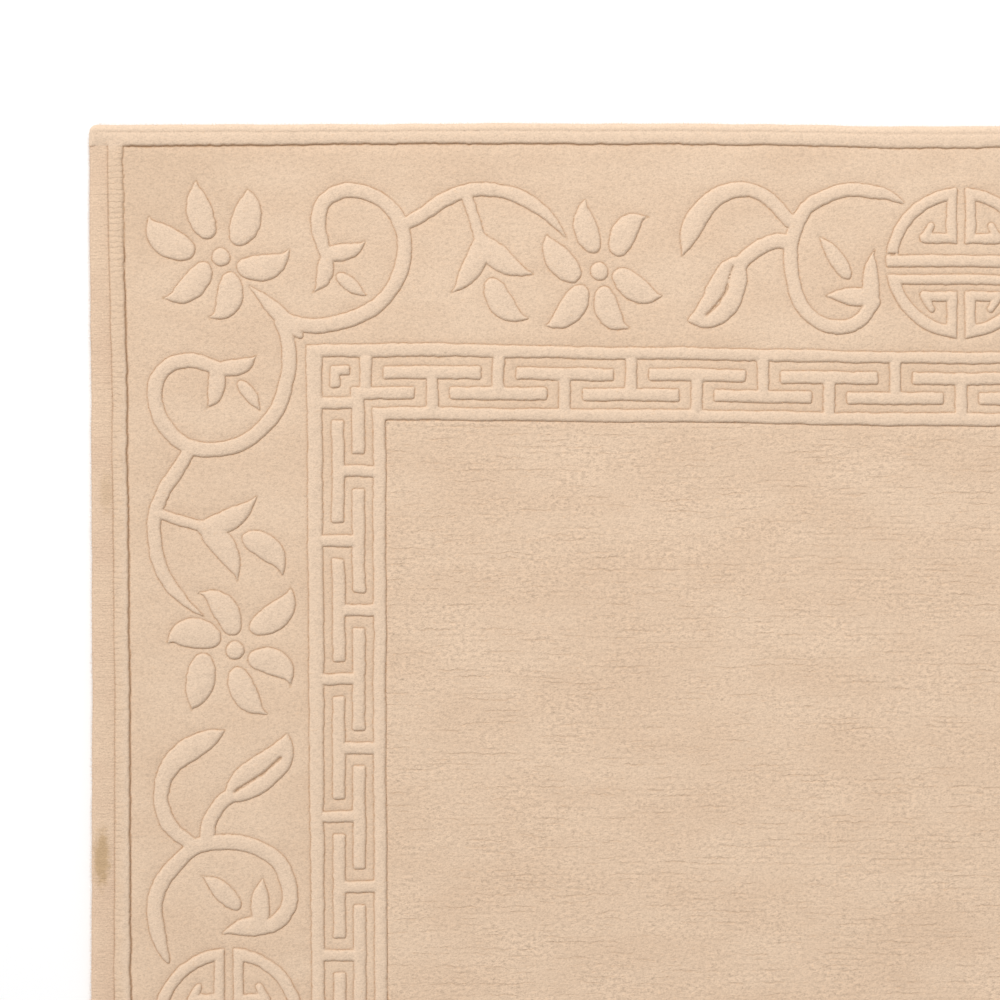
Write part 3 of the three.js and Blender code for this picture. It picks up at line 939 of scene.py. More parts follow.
def quarter_border(name, surface, corner, material):
    """The carved border of one quarter of the rug, as closed pile."""
    points, cut, triangles = surface
    faces = triangles if corner[0] * corner[1] > 0 else triangles[:, ::-1]
    places = in_rug(points, corner)
    seam = seam_inset(points)
    rim_top = np.interp(rim_inset(points), RIM["inset"], RIM["height"])
    top = np.minimum(rim_top, np.interp(seam, SEAM["inset"], SEAM["height"]))
    guard = np.clip(np.minimum(GUARD_ON_SIDE - points[:, 0], points[:, 1] - GUARD_ON_END) / 2, 0, 1)
    deep = deep_cut(points)
    height = np.interp(cut, CUT["distance"], CUT["height"]) + pile_unevenness(places)
    height = np.minimum(height, top + 0.5 * pile_unevenness(places))
    height -= DEEP_CUT_EXTRA * deep * groove_depth(cut, deep)
    shading = shading_of(cut, guard, np.zeros(len(cut)), deep)
    below_tongue = points[:, 1] > TONGUE + 2
    seam_shade = np.clip(1 - seam / SEAM_SHADE_WIDTH, 0, 1) * SEAM_SHADE * below_tongue
    # Painted shade along the binding's seam, joined to the painted shade in the cut
    shading["groove"] = np.maximum(shading["groove"], seam_shade)
    mesh = pile_mesh(name, np.column_stack([hand_moved(places), height]), faces.tolist(), shading)
    return made_object(name, mesh, material)


def field_lines(half, step):
    """Distances across the field: close together at its cut edges, then evenly spaced."""
    edge = np.array(FIELD_EDGE)
    reach = half - FIELD_INNER_FROM
    inner = np.linspace(-reach, reach, round(2 * reach / step))
    return np.concatenate([edge - half, inner, half - edge[::-1]])


def plain_field(name, material):
    """The field: sheared pile whose rows of knots show as fine broken ridges."""
    from_edge = INNER_RAIL[1] + CUT_BOTTOM
    half_across, half_along = HALF_WIDTH - from_edge, HALF_LENGTH - from_edge
    columns = field_lines(half_across, FIELD_STEP_ACROSS)
    rows = field_lines(half_along, FIELD_STEP_DOWN)
    across, down = np.meshgrid(columns, rows)
    flat = np.stack([across.ravel(), down.ravel()], axis=1)
    steady = np.full(len(flat), float(INNER_RAIL[1]))
    narrowed = 1 - drift("side", HALF_LENGTH - np.abs(flat[:, 1]), steady) / half_across
    shortened = 1 - drift("end", HALF_WIDTH - np.abs(flat[:, 0]), steady) / half_along
    places = flat * np.stack([narrowed, shortened], axis=1)
    from_cut = np.minimum(half_across - np.abs(flat[:, 0]), half_along - np.abs(flat[:, 1]))
    cut = from_cut + CUT_BOTTOM
    height = np.interp(from_cut, FIELD_CUT["distance"], FIELD_CUT["height"])
    phase = 2 * math.pi * (flat[:, 1] / KNOT_ROW + 0.3 * wander(places, (90, 60), 31))
    strength = np.clip(0.55 + 0.6 * wander(places, (45, 9), 32), 0, 1) * np.clip(from_cut / 8, 0, 1)
    height += KNOT_RIDGE * np.sin(phase) * strength + pile_unevenness(places)
    wide = len(columns)
    corner = (np.arange(len(rows) - 1)[:, None] * wide + np.arange(wide - 1)).ravel()
    faces = np.stack([corner, corner + 1, corner + wide + 1, corner + wide], axis=1)
    points = np.column_stack([hand_moved(places), height])
    steady = np.ones(len(cut))
    mesh = pile_mesh(name, points, faces.tolist(), shading_of(cut, 0 * steady, steady, 0 * steady))
    return made_object(name, mesh, material)


def edge_line(kind, way, inward, short, depth=None, flared=0):
    """A line along an edge of the rug, at a distance inward from it.

    It ends short of the corners by a length. It wanders as the border does at its own or another depth,
    and follows the fuzzy edge by a share. Way is the sign of the coordinate that it runs beside.
    """
    half, edge, stations = ((HALF_WIDTH, HALF_LENGTH, END_STATIONS) if kind == "end" else
                            (HALF_LENGTH, HALF_WIDTH, SIDE_STATIONS))
    run = np.linspace(-half + short, half - short, stations)
    along = half - np.abs(run)
    wandered = inward + drift(kind, along, np.full(len(run), float(inward if depth is None else depth)))
    wandered -= flare(kind, along) * flared
    beside = way * (edge - wandered)
    return np.column_stack([run, beside] if kind == "end" else [beside, run])


def binding_line(side, inward):
    """A line along a binding, which widens with the fuzzy edge and stops at the guards across the ends."""
    return edge_line("side", side, inward, TONGUE - TONGUE_OVERLAP, flared=1 - inward / BODY_SIDE)


def binding_width(along):
    """How wide the binding is from its seam to the fuzzy edge, at each distance along."""
    outer, seam = np.zeros(len(along)), np.full(len(along), float(BODY_SIDE))
    return BINDING_WIDTH + flare("side", along) + drift("side", along, seam) - drift("side", along, outer)


def foundation(name, material):
    """The woven foundation under the pile: a thin slab with a softened edge and a ribbed back."""
    from_side = BODY_SIDE + FOUNDATION_INSET
    rim = np.vstack([
        edge_line("side", 1, from_side, 0)[1:-1],
        edge_line("end", 1, FOUNDATION_INSET, from_side)[::-1],
        edge_line("side", -1, from_side, 0)[1:-1][::-1],
        edge_line("end", -1, FOUNDATION_INSET, from_side),
    ])
    centre = rim.mean(0)
    rings = []
    for drawn_in, height in FOUNDATION_PROFILE:
        toward = np.sign(centre - rim) * drawn_in
        rings.append(np.column_stack([hand_moved(rim) + toward, np.full(len(rim), float(height))]))
    count = len(rim)
    faces = [list(range(count))[::-1], [3 * count + i for i in range(count)]]
    for level in range(len(FOUNDATION_PROFILE) - 1):
        for i in range(count):
            j = (i + 1) % count
            low, high = level * count, (level + 1) * count
            faces.append([low + i, low + j, high + j, high + i])
    mesh = bpy.data.meshes.new(name)
    mesh.from_pydata((np.vstack(rings) * MM).tolist(), [], faces)
    return made_object(name, mesh, material)


# Overcast bindings

WRAP_PITCH = 3.6
WRAP_TURN = 0.04
# The least and the most that a turn is swelled, across, along and up
WRAP_SWELL = ((0.99, 1.05, 0.997), (1.0, 1.3, 1.008))
# A turn of yarn over the edge: distance in from the rug's nominal edge, and height
WRAP_PATH = ((0.9, 1.4), (0.2, 4.4), (0.5, 7.2), (1.6, 9.3), (3.8, 10.9), (7.5, 11.9), (12, 12.2),
             (15.6, 12.3), (18.4, 12.2), (20.9, 11.6))
# The cord under the wraps: distance in, and height
CORE_PROFILE = ((1.6, 1.0), (1.2, 7.0), (4.0, 10.4), (8, 11.5), (15, 11.9), (18.8, 11.7), (20.4, 11),
                (19.4, 1.0))
# A turn's section: distance along the edge, and how far it stands out
WRAP_RING = ((-2.7, -0.24), (-1.6, 0.03), (-0.5, 0.09), (0.6, 0.09), (1.6, 0.03), (2.7, -0.24))


def wrap_mesh():
    """One turn of yarn over the edge, as seen on the left side, lying around the origin."""
    path = np.array(WRAP_PATH)
    path[:, 0] -= BINDING_WIDTH / 2
    run = np.gradient(path, axis=0)
    outward = np.column_stack([-run[:, 1], run[:, 0]]) / np.linalg.norm(run, axis=1)[:, None]
    points, faces = [], []
    count = len(WRAP_RING)
    for at, out in zip(path, outward):
        for along, proud in WRAP_RING:
            points.append((at[0] + out[0] * proud, along, at[1] + out[1] * proud))
    for i in range(len(path) - 1):
        for j in range(count):
            k = (j + 1) % count
            faces.append([i * count + j, i * count + k, (i + 1) * count + k, (i + 1) * count + j])
    last = (len(path) - 1) * count
    faces += [list(range(count))[::-1], [last + j for j in range(count)]]
    mesh = bpy.data.meshes.new("wrap")
    mesh.from_pydata((np.array(points) * MM).tolist(), [], faces)
    return pointing_out(mesh)


def pointing_out(mesh):
    shaped = bmesh.new()
    shaped.from_mesh(mesh)
    bmesh.ops.recalc_face_normals(shaped, faces=shaped.faces)
    shaped.to_mesh(mesh)
    shaped.free()
    return mesh


def core_mesh(side):
    """The cord under the wraps, along a whole side."""
    rows = []
    for inward, height in CORE_PROFILE:
        line = hand_moved(binding_line(side, inward))
        rows.append(np.column_stack([line, np.full(len(line), height)]))
    stations = len(rows[0])
    points = np.vstack(rows)
    faces = []
    count = len(CORE_PROFILE)
    for i in range(count):
        j = (i + 1) % count
        for k in range(stations - 1):
            faces.append([i * stations + k, i * stations + k + 1, j * stations + k + 1, j * stations + k])
    ends = [[i * stations for i in range(count)], [(i + 1) * stations - 1 for i in range(count)]]
    mesh = bpy.data.meshes.new("core")
    mesh.from_pydata((points * MM).tolist(), [], faces + ends)
    return pointing_out(mesh)


def add_node(tree, kind, settings=None, inputs=None):
    """Adds a node to a tree, with its inputs set to values or linked to sockets. Gives its outputs."""
    made = tree.nodes.new(kind)
    for title, value in (settings or {}).items():
        setattr(made, title, value)
    for title, value in (inputs or {}).items():
        if isinstance(value, bpy.types.NodeSocket):
            tree.links.new(value, made.inputs[title])
        else:
            made.inputs[title].default_value = value
    return made.outputs


class NodeTree:
    """A Geometry Nodes tree with named inputs, built a node at a time."""

    def __init__(self, name, inputs):
        self.tree = bpy.data.node_groups.new(name, "GeometryNodeTree")
        self.tree.interface.new_socket("Geometry", in_out="INPUT", socket_type="NodeSocketGeometry")
        self.tree.interface.new_socket("Geometry", in_out="OUTPUT", socket_type="NodeSocketGeometry")
        self.names = {}
        for title, kind in inputs.items():
            item = self.tree.interface.new_socket(title, in_out="INPUT", socket_type=kind)
            self.names[title] = item.identifier
        self.given = self.tree.nodes.new("NodeGroupInput").outputs
        self.result = self.tree.nodes.new("NodeGroupOutput")

    def node(self, kind, settings=None, inputs=None):
        return add_node(self.tree, kind, settings, inputs)

    def joined(self, *geometries):
        made = self.tree.nodes.new("GeometryNodeJoinGeometry")
        for geometry in geometries:
            self.tree.links.new(geometry, made.inputs["Geometry"])
        return made.outputs["Geometry"]

    def spread(self, amount, seed):
        """A random number between minus this amount and this amount at each point."""
        least = self.node("ShaderNodeMath", {"operation": "MULTIPLY"}, {0: amount, 1: -1.0})
        return self.node("FunctionNodeRandomValue", {"data_type": "FLOAT"}, {
            2: least["Value"], 3: amount, "Seed": seed})[1]

    def finish(self, geometry, material_input):
        realized = self.node("GeometryNodeRealizeInstances", inputs={"Geometry": geometry})
        dressed = self.node("GeometryNodeSetMaterial", inputs={
            "Geometry": realized["Geometry"], "Material": self.given[material_input]})
        self.tree.links.new(dressed["Geometry"], self.result.inputs["Geometry"])

    def applied(self, name, start_mesh, values):
        """A plain mesh object: what the tree makes of the starting mesh with these inputs."""
        carrier = linked(name + "_start", start_mesh)
        modifier = carrier.modifiers.new("made", "NODES")
        modifier.node_group = self.tree
        for title, value in values.items():
            modifier[self.names[title]] = value
        seen = carrier.evaluated_get(bpy.context.evaluated_depsgraph_get())
        mesh = bpy.data.meshes.new_from_object(seen)
        bpy.data.objects.remove(carrier)
        mesh.name = name
        return mesh


def overcast_tree():
    """Wraps of yarn set along a line over a core, each turned and swelled a little."""
    tree = NodeTree("overcast", {
        "Wrap": "NodeSocketObject", "Core": "NodeSocketObject", "Pitch": "NodeSocketFloat",
        "Turn": "NodeSocketFloat", "Seed": "NodeSocketInt", "Wool": "NodeSocketMaterial"})
    line = tree.node("GeometryNodeMeshToCurve", inputs={"Mesh": tree.given["Geometry"]})
    spaced = tree.node("GeometryNodeResampleCurve", {"mode": "LENGTH"}, {
        "Curve": line["Curve"], "Length": tree.given["Pitch"]})
    wrap = tree.node("GeometryNodeObjectInfo", inputs={"Object": tree.given["Wrap"]})
    core = tree.node("GeometryNodeObjectInfo", inputs={"Object": tree.given["Core"]})
    turn = tree.spread(tree.given["Turn"], tree.given["Seed"])
    rotation = tree.node("ShaderNodeCombineXYZ", inputs={"Z": turn})
    swell = tree.node("FunctionNodeRandomValue", {"data_type": "FLOAT_VECTOR"}, {
        0: WRAP_SWELL[0], 1: WRAP_SWELL[1], "Seed": tree.given["Seed"]})
    wide = tree.node("GeometryNodeInputNamedAttribute", {"data_type": "FLOAT"}, {"Name": "wide"})
    stretch = tree.node("ShaderNodeCombineXYZ", inputs={"X": wide["Attribute"], "Y": 1.0, "Z": 1.0})
    fitted = tree.node("ShaderNodeVectorMath", {"operation": "MULTIPLY"}, {
        0: swell[0], 1: stretch["Vector"]})
    placed = tree.node("GeometryNodeInstanceOnPoints", inputs={
        "Points": spaced["Curve"], "Instance": wrap["Geometry"], "Rotation": rotation["Vector"],
        "Scale": fitted["Vector"]})
    tree.finish(tree.joined(placed["Instances"], core["Geometry"]), "Wool")
    return tree


def overcast_binding(name, side, tree, material):
    """The wool yarn overcast round one long side."""
    turn = wrap_mesh()
    if side > 0:
        turn.transform(((-1, 0, 0, 0), (0, 1, 0, 0), (0, 0, 1, 0), (0, 0, 0, 1)))
        pointing_out(turn)
    wrap, core = linked("wrap", turn), linked("core", core_mesh(side))
    middle = hand_moved(binding_line(side, BINDING_WIDTH / 2))
    middle[0, 1] += 2
    middle[-1, 1] -= 2
    line = bpy.data.meshes.new("line")
    points = np.column_stack([middle, np.zeros(len(middle))]) * MM
    line.from_pydata(points.tolist(), [(i, i + 1) for i in range(len(points) - 1)], [])
    wide = line.attributes.new("wide", "FLOAT", "POINT")
    wide.data.foreach_set("value", binding_width(HALF_LENGTH - np.abs(middle[:, 1])) / BINDING_WIDTH)
    mesh = tree.applied(name, line, {
        "Wrap": wrap, "Core": core, "Pitch": WRAP_PITCH * MM, "Turn": WRAP_TURN, "Seed": 3 + side,
        "Wool": material})
    for spare in (wrap, core):
        bpy.data.objects.remove(spare)
    mesh.polygons.foreach_set("use_smooth", [True] * len(mesh.polygons))
    return made_object(name, mesh, material)


# The fuzz that stands out from the rug's edge

FUZZ_PITCH = 1.6
FUZZ_LENGTH = 3.0
FUZZ_RADIUS = 0.14
FUZZ_TURN = 0.8
FUZZ_TILT = (-0.7, 0.35)
# The least and the most of a fibre's length and thickness
FUZZ_CUT = ((0.4, 0.8, 0.8), (1.35, 1.3, 1.3))
# Rows of fibres: height, and distance in from the fuzzy edge
FUZZ_ROWS = ((5.0, 0.25), (7.4, 0.6), (9.4, 1.4))


def fibre_mesh():
    """One fibre, pointing along X from the origin."""
    base = [(-0.3, FUZZ_RADIUS * math.cos(turn), FUZZ_RADIUS * math.sin(turn))
            for turn in (0, 2 * math.pi / 3, 4 * math.pi / 3)]
    mesh = bpy.data.meshes.new("fibre")
    mesh.from_pydata((np.array([*base, (FUZZ_LENGTH, 0, 0.3)]) * MM).tolist(), [],
                     [(0, 2, 1), (0, 1, 3), (1, 2, 3), (2, 0, 3)])
    return pointing_out(mesh)


def fuzz_tree():
    """Fibres set along lines, each facing as its line says and turned, tilted and cut a little at random."""
    tree = NodeTree("edge_fuzz", {
        "Fibre": "NodeSocketObject", "Pitch": "NodeSocketFloat", "Turn": "NodeSocketFloat",
        "Seed": "NodeSocketInt", "Wool": "NodeSocketMaterial"})
    line = tree.node("GeometryNodeMeshToCurve", inputs={"Mesh": tree.given["Geometry"]})
    spaced = tree.node("GeometryNodeResampleCurve", {"mode": "LENGTH"}, {
        "Curve": line["Curve"], "Length": tree.given["Pitch"]})
    fibre = tree.node("GeometryNodeObjectInfo", inputs={"Object": tree.given["Fibre"]})
    facing = tree.node("GeometryNodeInputNamedAttribute", {"data_type": "FLOAT"}, {"Name": "facing"})
    turn = tree.spread(tree.given["Turn"], tree.given["Seed"])
    faced = tree.node("ShaderNodeMath", {"operation": "ADD"}, {0: facing["Attribute"], 1: turn})
    other = tree.node("ShaderNodeMath", {"operation": "ADD"}, {0: tree.given["Seed"], 1: 1.0})
    tilt = tree.node("FunctionNodeRandomValue", {"data_type": "FLOAT"}, {
        2: FUZZ_TILT[0], 3: FUZZ_TILT[1], "Seed": other["Value"]})
    rotation = tree.node("ShaderNodeCombineXYZ", inputs={"Y": tilt[1], "Z": faced["Value"]})
    cut = tree.node("FunctionNodeRandomValue", {"data_type": "FLOAT_VECTOR"}, {
        0: FUZZ_CUT[0], 1: FUZZ_CUT[1], "Seed": tree.given["Seed"]})
    placed = tree.node("GeometryNodeInstanceOnPoints", inputs={
        "Points": spaced["Curve"], "Instance": fibre["Geometry"], "Rotation": rotation["Vector"],
        "Scale": cut[0]})
    tree.finish(placed["Instances"], "Wool")
    return tree


def edge_fuzz(name, material):
    """Loose fibres all round the rug's outer edge."""
    points, edges, facing = [], [], []
    edges_out = (("side", -1, math.pi), ("end", -1, -math.pi / 2), ("side", 1, 0), ("end", 1, math.pi / 2))
    for height, inward in FUZZ_ROWS:
        for kind, way, outward in edges_out:
            line = edge_line(kind, way, inward, CORNER_RADIUS - 2, depth=0, flared=1)
            start = len(facing)
            edges += [(start + i, start + i + 1) for i in range(len(line) - 1)]
            points.append(np.column_stack([hand_moved(line), np.full(len(line), height)]))
            facing += [outward] * len(line)
    mesh = bpy.data.meshes.new("edge_lines")
    mesh.from_pydata((np.vstack(points) * MM).tolist(), edges, [])
    layer = mesh.attributes.new("facing", "FLOAT", "POINT")
    layer.data.foreach_set("value", facing)
    fibre = linked("fibre", fibre_mesh())
    made = fuzz_tree().applied(name, mesh, {
        "Fibre": fibre, "Pitch": FUZZ_PITCH * MM, "Turn": FUZZ_TURN, "Seed": 17, "Wool": material})
    bpy.data.objects.remove(fibre)
    return made_object(name, made, material)


# Finishes


class Value:
    """A socket that can be used in sums, each of which adds its Math node."""

    def __init__(self, finish, socket):
        self.finish = finish
        self.socket = socket

    def __add__(self, other):
        return self.finish.sum("ADD", self, other)

    def __sub__(self, other):
        return self.finish.sum("SUBTRACT", self, other)

    def __rsub__(self, other):
        return self.finish.sum("SUBTRACT", other, self)

    def __mul__(self, other):
        return self.finish.sum("MULTIPLY", self, other)

    __radd__ = __add__
    __rmul__ = __mul__


class Finish:
    """A material under construction."""

    def __init__(self, name):
        self.material = bpy.data.materials.new(name)
        self.material.use_nodes = True
        self.tree = self.material.node_tree
        self.tree.nodes.clear()
        self.places = Value(self, self.node("ShaderNodeTexCoord")["Object"])

    def node(self, kind, settings=None, inputs=None):
        given = {title: value.socket if isinstance(value, Value) else value
                 for title, value in (inputs or {}).items()}
        return add_node(self.tree, kind, settings, given)

    def sum(self, operation, *terms):
        made = self.node("ShaderNodeMath", {"operation": operation}, dict(enumerate(terms)))
        return Value(self, made["Value"])

    def between(self, value, low, high):
        """0 below low, 1 above high and smooth between them."""
        made = self.node("ShaderNodeMapRange", {"interpolation_type": "SMOOTHSTEP"}, {
            "Value": value, "From Min": low, "From Max": high})
        return Value(self, made["Result"])

    def stretched(self, per_metre):
        made = self.node("ShaderNodeVectorMath", {"operation": "MULTIPLY"}, {
            0: self.places, 1: per_metre})
        return Value(self, made["Vector"])

    def noise(self, per_metre, detail=2.0, roughness=0.55):
        """Noise from 0 to 1 with this many patches to the metre each way."""
        made = self.node("ShaderNodeTexNoise", {"noise_dimensions": "3D"}, {
            "Vector": self.stretched(per_metre), "Scale": 1.0, "Detail": detail, "Roughness": roughness})
        return Value(self, made[0])

    def tufts(self, per_metre, randomness=1.0):
        """Rounded tufts: 1 at each middle, falling towards the edges."""
        made = self.node("ShaderNodeTexVoronoi", {"feature": "F1"}, {
            "Vector": self.stretched(per_metre), "Scale": 1.0, "Randomness": randomness})
        return 1 - Value(self, made["Distance"])

    def attribute(self, name):
        return Value(self, self.node("ShaderNodeAttribute", {"attribute_name": name})["Fac"])

    def across(self, axis):
        return Value(self, self.node("ShaderNodeSeparateXYZ", inputs={0: self.places})[axis])

    def mixed(self, share, first, second):
        made = self.node("ShaderNodeMix", {"data_type": "RGBA"}, {0: share, 6: first, 7: second})
        return Value(self, made[2])

    def shaded(self, colour, amount):
        """A colour made lighter or darker by a factor."""
        made = self.node("ShaderNodeVectorMath", {"operation": "SCALE"}, {0: colour, "Scale": amount})
        return Value(self, made["Vector"])

    def spot(self, x, y, half_x, half_y):
        """1 in the middle of a soft spot on the rug, given in millimetres, and 0 outside it."""
        moved = self.node("ShaderNodeVectorMath", {"operation": "SUBTRACT"}, {
            0: self.places, 1: (x * MM, y * MM, 0.01)})
        scaled = self.node("ShaderNodeVectorMath", {"operation": "MULTIPLY"}, {
            0: moved["Vector"], 1: (1000 / half_x, 1000 / half_y, 1.0)})
        length = self.node("ShaderNodeVectorMath", {"operation": "LENGTH"}, {0: scaled["Vector"]})
        ragged = Value(self, length["Value"]) + (self.noise((180, 180, 180), 3.0) - 0.5) * 0.9
        return 1 - self.between(ragged, 0.35, 1.0)

    def wool(self, colour, height, depth, sheen):
        """Closes the material: matt wool with this colour and this bump in metres."""
        bump = self.node("ShaderNodeBump", inputs={"Height": height, "Strength": 1.0, "Distance": depth})
        shader = self.node("ShaderNodeBsdfPrincipled", inputs={
            "Base Color": colour, "Roughness": 0.95, "Normal": bump["Normal"], "Specular IOR Level": 0.12,
            "Sheen Weight": sheen, "Sheen Roughness": 0.55})
        self.node("ShaderNodeOutputMaterial", inputs={"Surface": shader["BSDF"]})
        return self.material


def rgb(red, green, blue):
    return (red, green, blue, 1.0)


# Colours: two for what varies in patches, and one for each accent or painted shade
GROUND_WOOL = (rgb(0.70, 0.511, 0.362), rgb(0.738, 0.552, 0.399))
CORNER_WOOL = rgb(0.62, 0.44, 0.30)
RAISED_WOOL = rgb(0.75, 0.568, 0.418)
GUARD_WOOL = rgb(0.695, 0.502, 0.348)
# Painted shade in the creases between the knot rows on the long sides' guards
GUARD_CREASE_SHADE = rgb(0.52, 0.35, 0.22)
# Painted shade for the bottom of the carver's cuts and along the binding's seam
PAINTED_CUT_SHADE = rgb(0.455, 0.285, 0.165)
# Painted shade in the creases between the knot rows of the field
KNOT_CREASE_SHADE = rgb(0.50, 0.33, 0.21)
BINDING_YARN = (rgb(0.70, 0.503, 0.357), rgb(0.735, 0.543, 0.388))
STAIN = rgb(0.50, 0.335, 0.18)
BACK_KNOTS = (rgb(0.60, 0.45, 0.32), rgb(0.68, 0.52, 0.38))
FLOOR = (rgb(0.975, 0.975, 0.975), rgb(0.985, 0.985, 0.985))
WOOL_SHEEN = 0.12
# The darker patch of ground in the far left corner, and the stains on the binding: middle and reach
SHADED_CORNER = (-850, 1320, 130, 110)
MAIN_STAIN = (-904, 611, 12, 42)
FAINT_STAIN = (-899, 996, 9, 30)
# Between these distances from the middle the long sides' guards begin, in metres
SIDE_GUARD_FROM = (0.866, 0.872)


def knot_rows(finish, curls):
    """The rows of knots: creases between them that open here and there, and soft ridges, from 0 to 1."""
    waver = finish.noise((4.5, 12, 5), 2.0, 0.6) * 7.0 + finish.noise((60, 50, 60), 2.0, 0.7) * 4.5
    phase = finish.across("Y") * (math.pi / (KNOT_ROW * MM)) + waver + curls * 1.4
    wave = finish.sum("ABSOLUTE", finish.sum("SINE", phase))
    opened = finish.between(finish.noise((22, 120, 22), 3.0, 0.7) + curls * 0.5, 0.74, 0.9)
    return finish.sum("POWER", wave, 9.0), wave, opened


def carved_wool():
    finish = Finish("carved_cream_wool")
    fibres = finish.noise((520, 560, 500), 2.0, 0.75)
    curls = finish.noise((190, 290, 230), 2.0, 0.8)
    crease, wave, opened = knot_rows(finish, curls)
    patches = finish.noise((7, 16, 7), 3.0, 0.6)
    loose = finish.between(finish.noise((18, 36, 18), 3.0, 0.6), 0.4, 0.62)
    raised, groove = finish.attribute("raised"), finish.attribute("groove")
    guard, open_field = finish.attribute("guard"), finish.attribute("open_field")
    ground = finish.mixed(finish.between(patches, 0.3, 0.7), *GROUND_WOOL)
    ground = finish.mixed(finish.spot(*SHADED_CORNER) * 0.35, ground, CORNER_WOOL)
    colour = finish.mixed(raised, ground, RAISED_WOOL)
    colour = finish.mixed(guard * 0.6, colour, GUARD_WOOL)
    side_guard = guard * finish.between(finish.sum("ABSOLUTE", finish.across("X")), *SIDE_GUARD_FROM)
    broken = finish.between(fibres + loose * 0.3, 0.35, 0.75)
    ladder = side_guard * (1 - finish.between(wave, 0.0, 0.7)) * broken
    # Painted shade in the creases between knot rows across the long sides' guards
    colour = finish.mixed(ladder * 0.14, colour, GUARD_CREASE_SHADE)
    # Painted shade: the carver's cuts and the binding's seam darkened with ragged edges
    ragged = finish.between(groove + (curls - 0.5) * 2.6 + (fibres - 0.5) * 0.9, 0.1, 1.3)
    colour = finish.mixed(ragged * 0.74, colour, PAINTED_CUT_SHADE)
    rows = crease * opened * open_field
    # Painted shade in the creases between the field's knot rows, where they open
    colour = finish.mixed(rows * 0.4, colour, KNOT_CREASE_SHADE)
    crumbs = 0.46 + loose * open_field * 0.6 - raised * 0.1
    colour = finish.shaded(colour, 1.0 + (fibres - 0.5) * 0.6 + (curls - 0.5) * crumbs)
    soft = fibres * 0.5 + curls * (0.6 + open_field * 0.4)
    height = soft - rows * 0.35 + wave * guard * 0.2 - ladder * 0.2
    return finish.wool(colour, height, 0.0009, WOOL_SHEEN)


def binding_wool():
    finish = Finish("overcast_wool_yarn")
    strands = finish.noise((180, 620, 400), 2.0, 0.7)
    patches = finish.noise((14, 22, 14), 3.0, 0.55)
    fibres = finish.noise((560, 620, 500), 2.0, 0.75)
    colour = finish.mixed(finish.between(patches, 0.3, 0.7), *BINDING_YARN)
    stain = finish.spot(*MAIN_STAIN) * 0.8 + finish.spot(*FAINT_STAIN) * 0.3
    colour = finish.mixed(stain, colour, STAIN)
    colour = finish.shaded(colour, 1.0 + (strands - 0.5) * 0.4 + (fibres - 0.5) * 0.6)
    return finish.wool(colour, strands * 0.8 + fibres * 0.6, 0.0009, WOOL_SHEEN)


def knotted_back():
    finish = Finish("knotted_back")
    knots = finish.tufts((300, 1000 / KNOT_ROW, 1), 0.35)
    weft = finish.sum("SINE", finish.across("Y") * (2 * math.pi / (KNOT_ROW * MM))) * 0.5 + 0.5
    patches = finish.noise((6, 11, 6), 3.0, 0.5)
    colour = finish.mixed(finish.between(patches, 0.3, 0.7), *BACK_KNOTS)
    # Painted light and shade: the knots' middles lighter, the hollows between knots and along the weft
    # darker, following the bump
    colour = finish.shaded(colour, 0.78 + knots * 0.25 - weft * 0.12)
    return finish.wool(colour, knots + weft * -0.4, 0.0008, 0.05)


def floor_paint():
    finish = Finish("studio_floor")
    patches = finish.noise((0.4, 0.4, 0.4), 1.0)
    colour = finish.mixed(patches, *FLOOR)
    return finish.wool(colour, patches, 0.0, 0.0)


# Studio, in metres

FLOOR_RADIUS = 30
WORLD_LIGHT = 0.60
WINDOW_LIGHT = {"energy": 1.45, "angle": 12, "from": (-0.62, 0.72, 0.85)}
SOFTBOX = {"energy": 17, "size": 0.9, "at": (-0.35, 2.75, 1.9), "toward": (-0.35, 0.99, 0)}
# The photo's frame: its middle on the rug and its width, and the lens it is seen through
FRAME_MIDDLE = (-0.4851, 0.9879)
FRAME_WIDTH = 1.0511
LENS, SENSOR_WIDTH = 85, 36


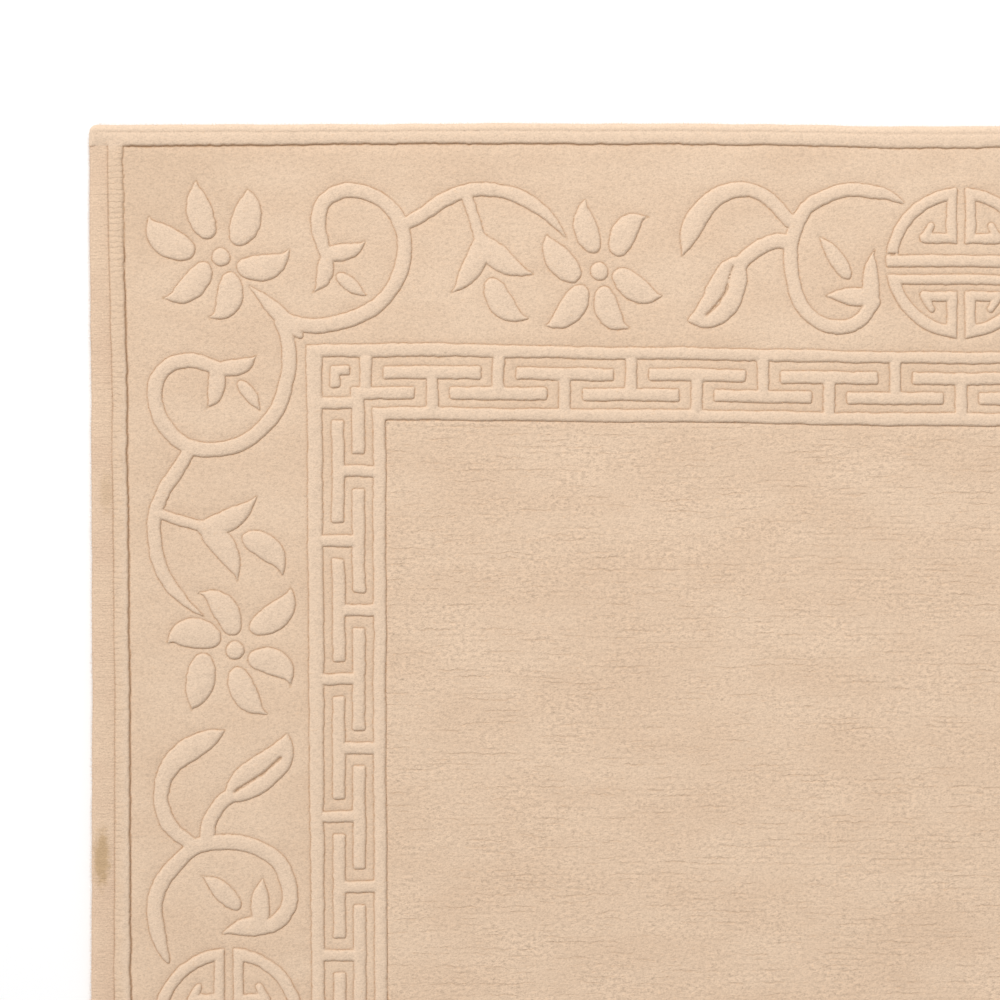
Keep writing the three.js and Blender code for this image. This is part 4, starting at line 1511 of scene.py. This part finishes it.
def studio():
    disc = bmesh.new()
    bmesh.ops.create_circle(disc, cap_ends=True, segments=64, radius=FLOOR_RADIUS)
    mesh = bpy.data.meshes.new("studio_floor")
    disc.to_mesh(mesh)
    disc.free()
    floor = made_object("studio_floor", mesh, floor_paint())

    world = bpy.data.worlds.new("studio")
    world.use_nodes = True
    world.node_tree.nodes["Background"].inputs["Color"].default_value = (1, 1, 1, 1)
    world.node_tree.nodes["Background"].inputs["Strength"].default_value = WORLD_LIGHT
    bpy.context.scene.world = world

    sun = bpy.data.lights.new("window_light", "SUN")
    sun.energy = WINDOW_LIGHT["energy"]
    sun.angle = math.radians(WINDOW_LIGHT["angle"])
    hung(sun, Vector(WINDOW_LIGHT["from"]), Vector((0, 0, 0)))
    lamp = bpy.data.lights.new("softbox", "AREA")
    lamp.shape = "DISK"
    lamp.size = SOFTBOX["size"]
    lamp.energy = SOFTBOX["energy"]
    hung(lamp, Vector(SOFTBOX["at"]), Vector(SOFTBOX["toward"]))


def hung(light, place, toward):
    made = linked(light.name, light)
    made.location = place
    made.rotation_euler = (place - toward).to_track_quat("Z", "Y").to_euler()


def camera():
    """Straight down on the corner, as in the photo."""
    lens = bpy.data.cameras.new("camera")
    lens.lens = LENS
    lens.sensor_width = SENSOR_WIDTH
    seen = linked("camera", lens)
    seen.location = (*FRAME_MIDDLE, FRAME_WIDTH * LENS / SENSOR_WIDTH + PILE_TOP * MM)
    bpy.context.scene.camera = seen
    bpy.context.scene.view_settings.view_transform = "Standard"


# The rug

pile = carved_wool()
yarn = binding_wool()
straight = quarter_surface(False)
turned = quarter_surface(True)

quarters = [
    quarter_border("border_top_a", straight, (-1, 1), pile),
    quarter_border("border_top_b", turned, (1, 1), pile),
    quarter_border("border_bottom_a", straight, (1, -1), pile),
    quarter_border("border_bottom_b", turned, (-1, -1), pile),
]
field = plain_field("field", pile)
back = foundation("foundation", knotted_back())
overcast = overcast_tree()
left = overcast_binding("binding_left", -1, overcast, yarn)
right = overcast_binding("binding_right", 1, overcast, yarn)
fuzz = edge_fuzz("edge_fuzz", pile)

for piece in (*quarters, field, back, fuzz):
    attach(piece, "root")
for piece, node in ((left, "side_binding_left"), (right, "side_binding_right")):
    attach(piece, "root")
    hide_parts(node)
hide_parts("rug_body")

studio()
camera()
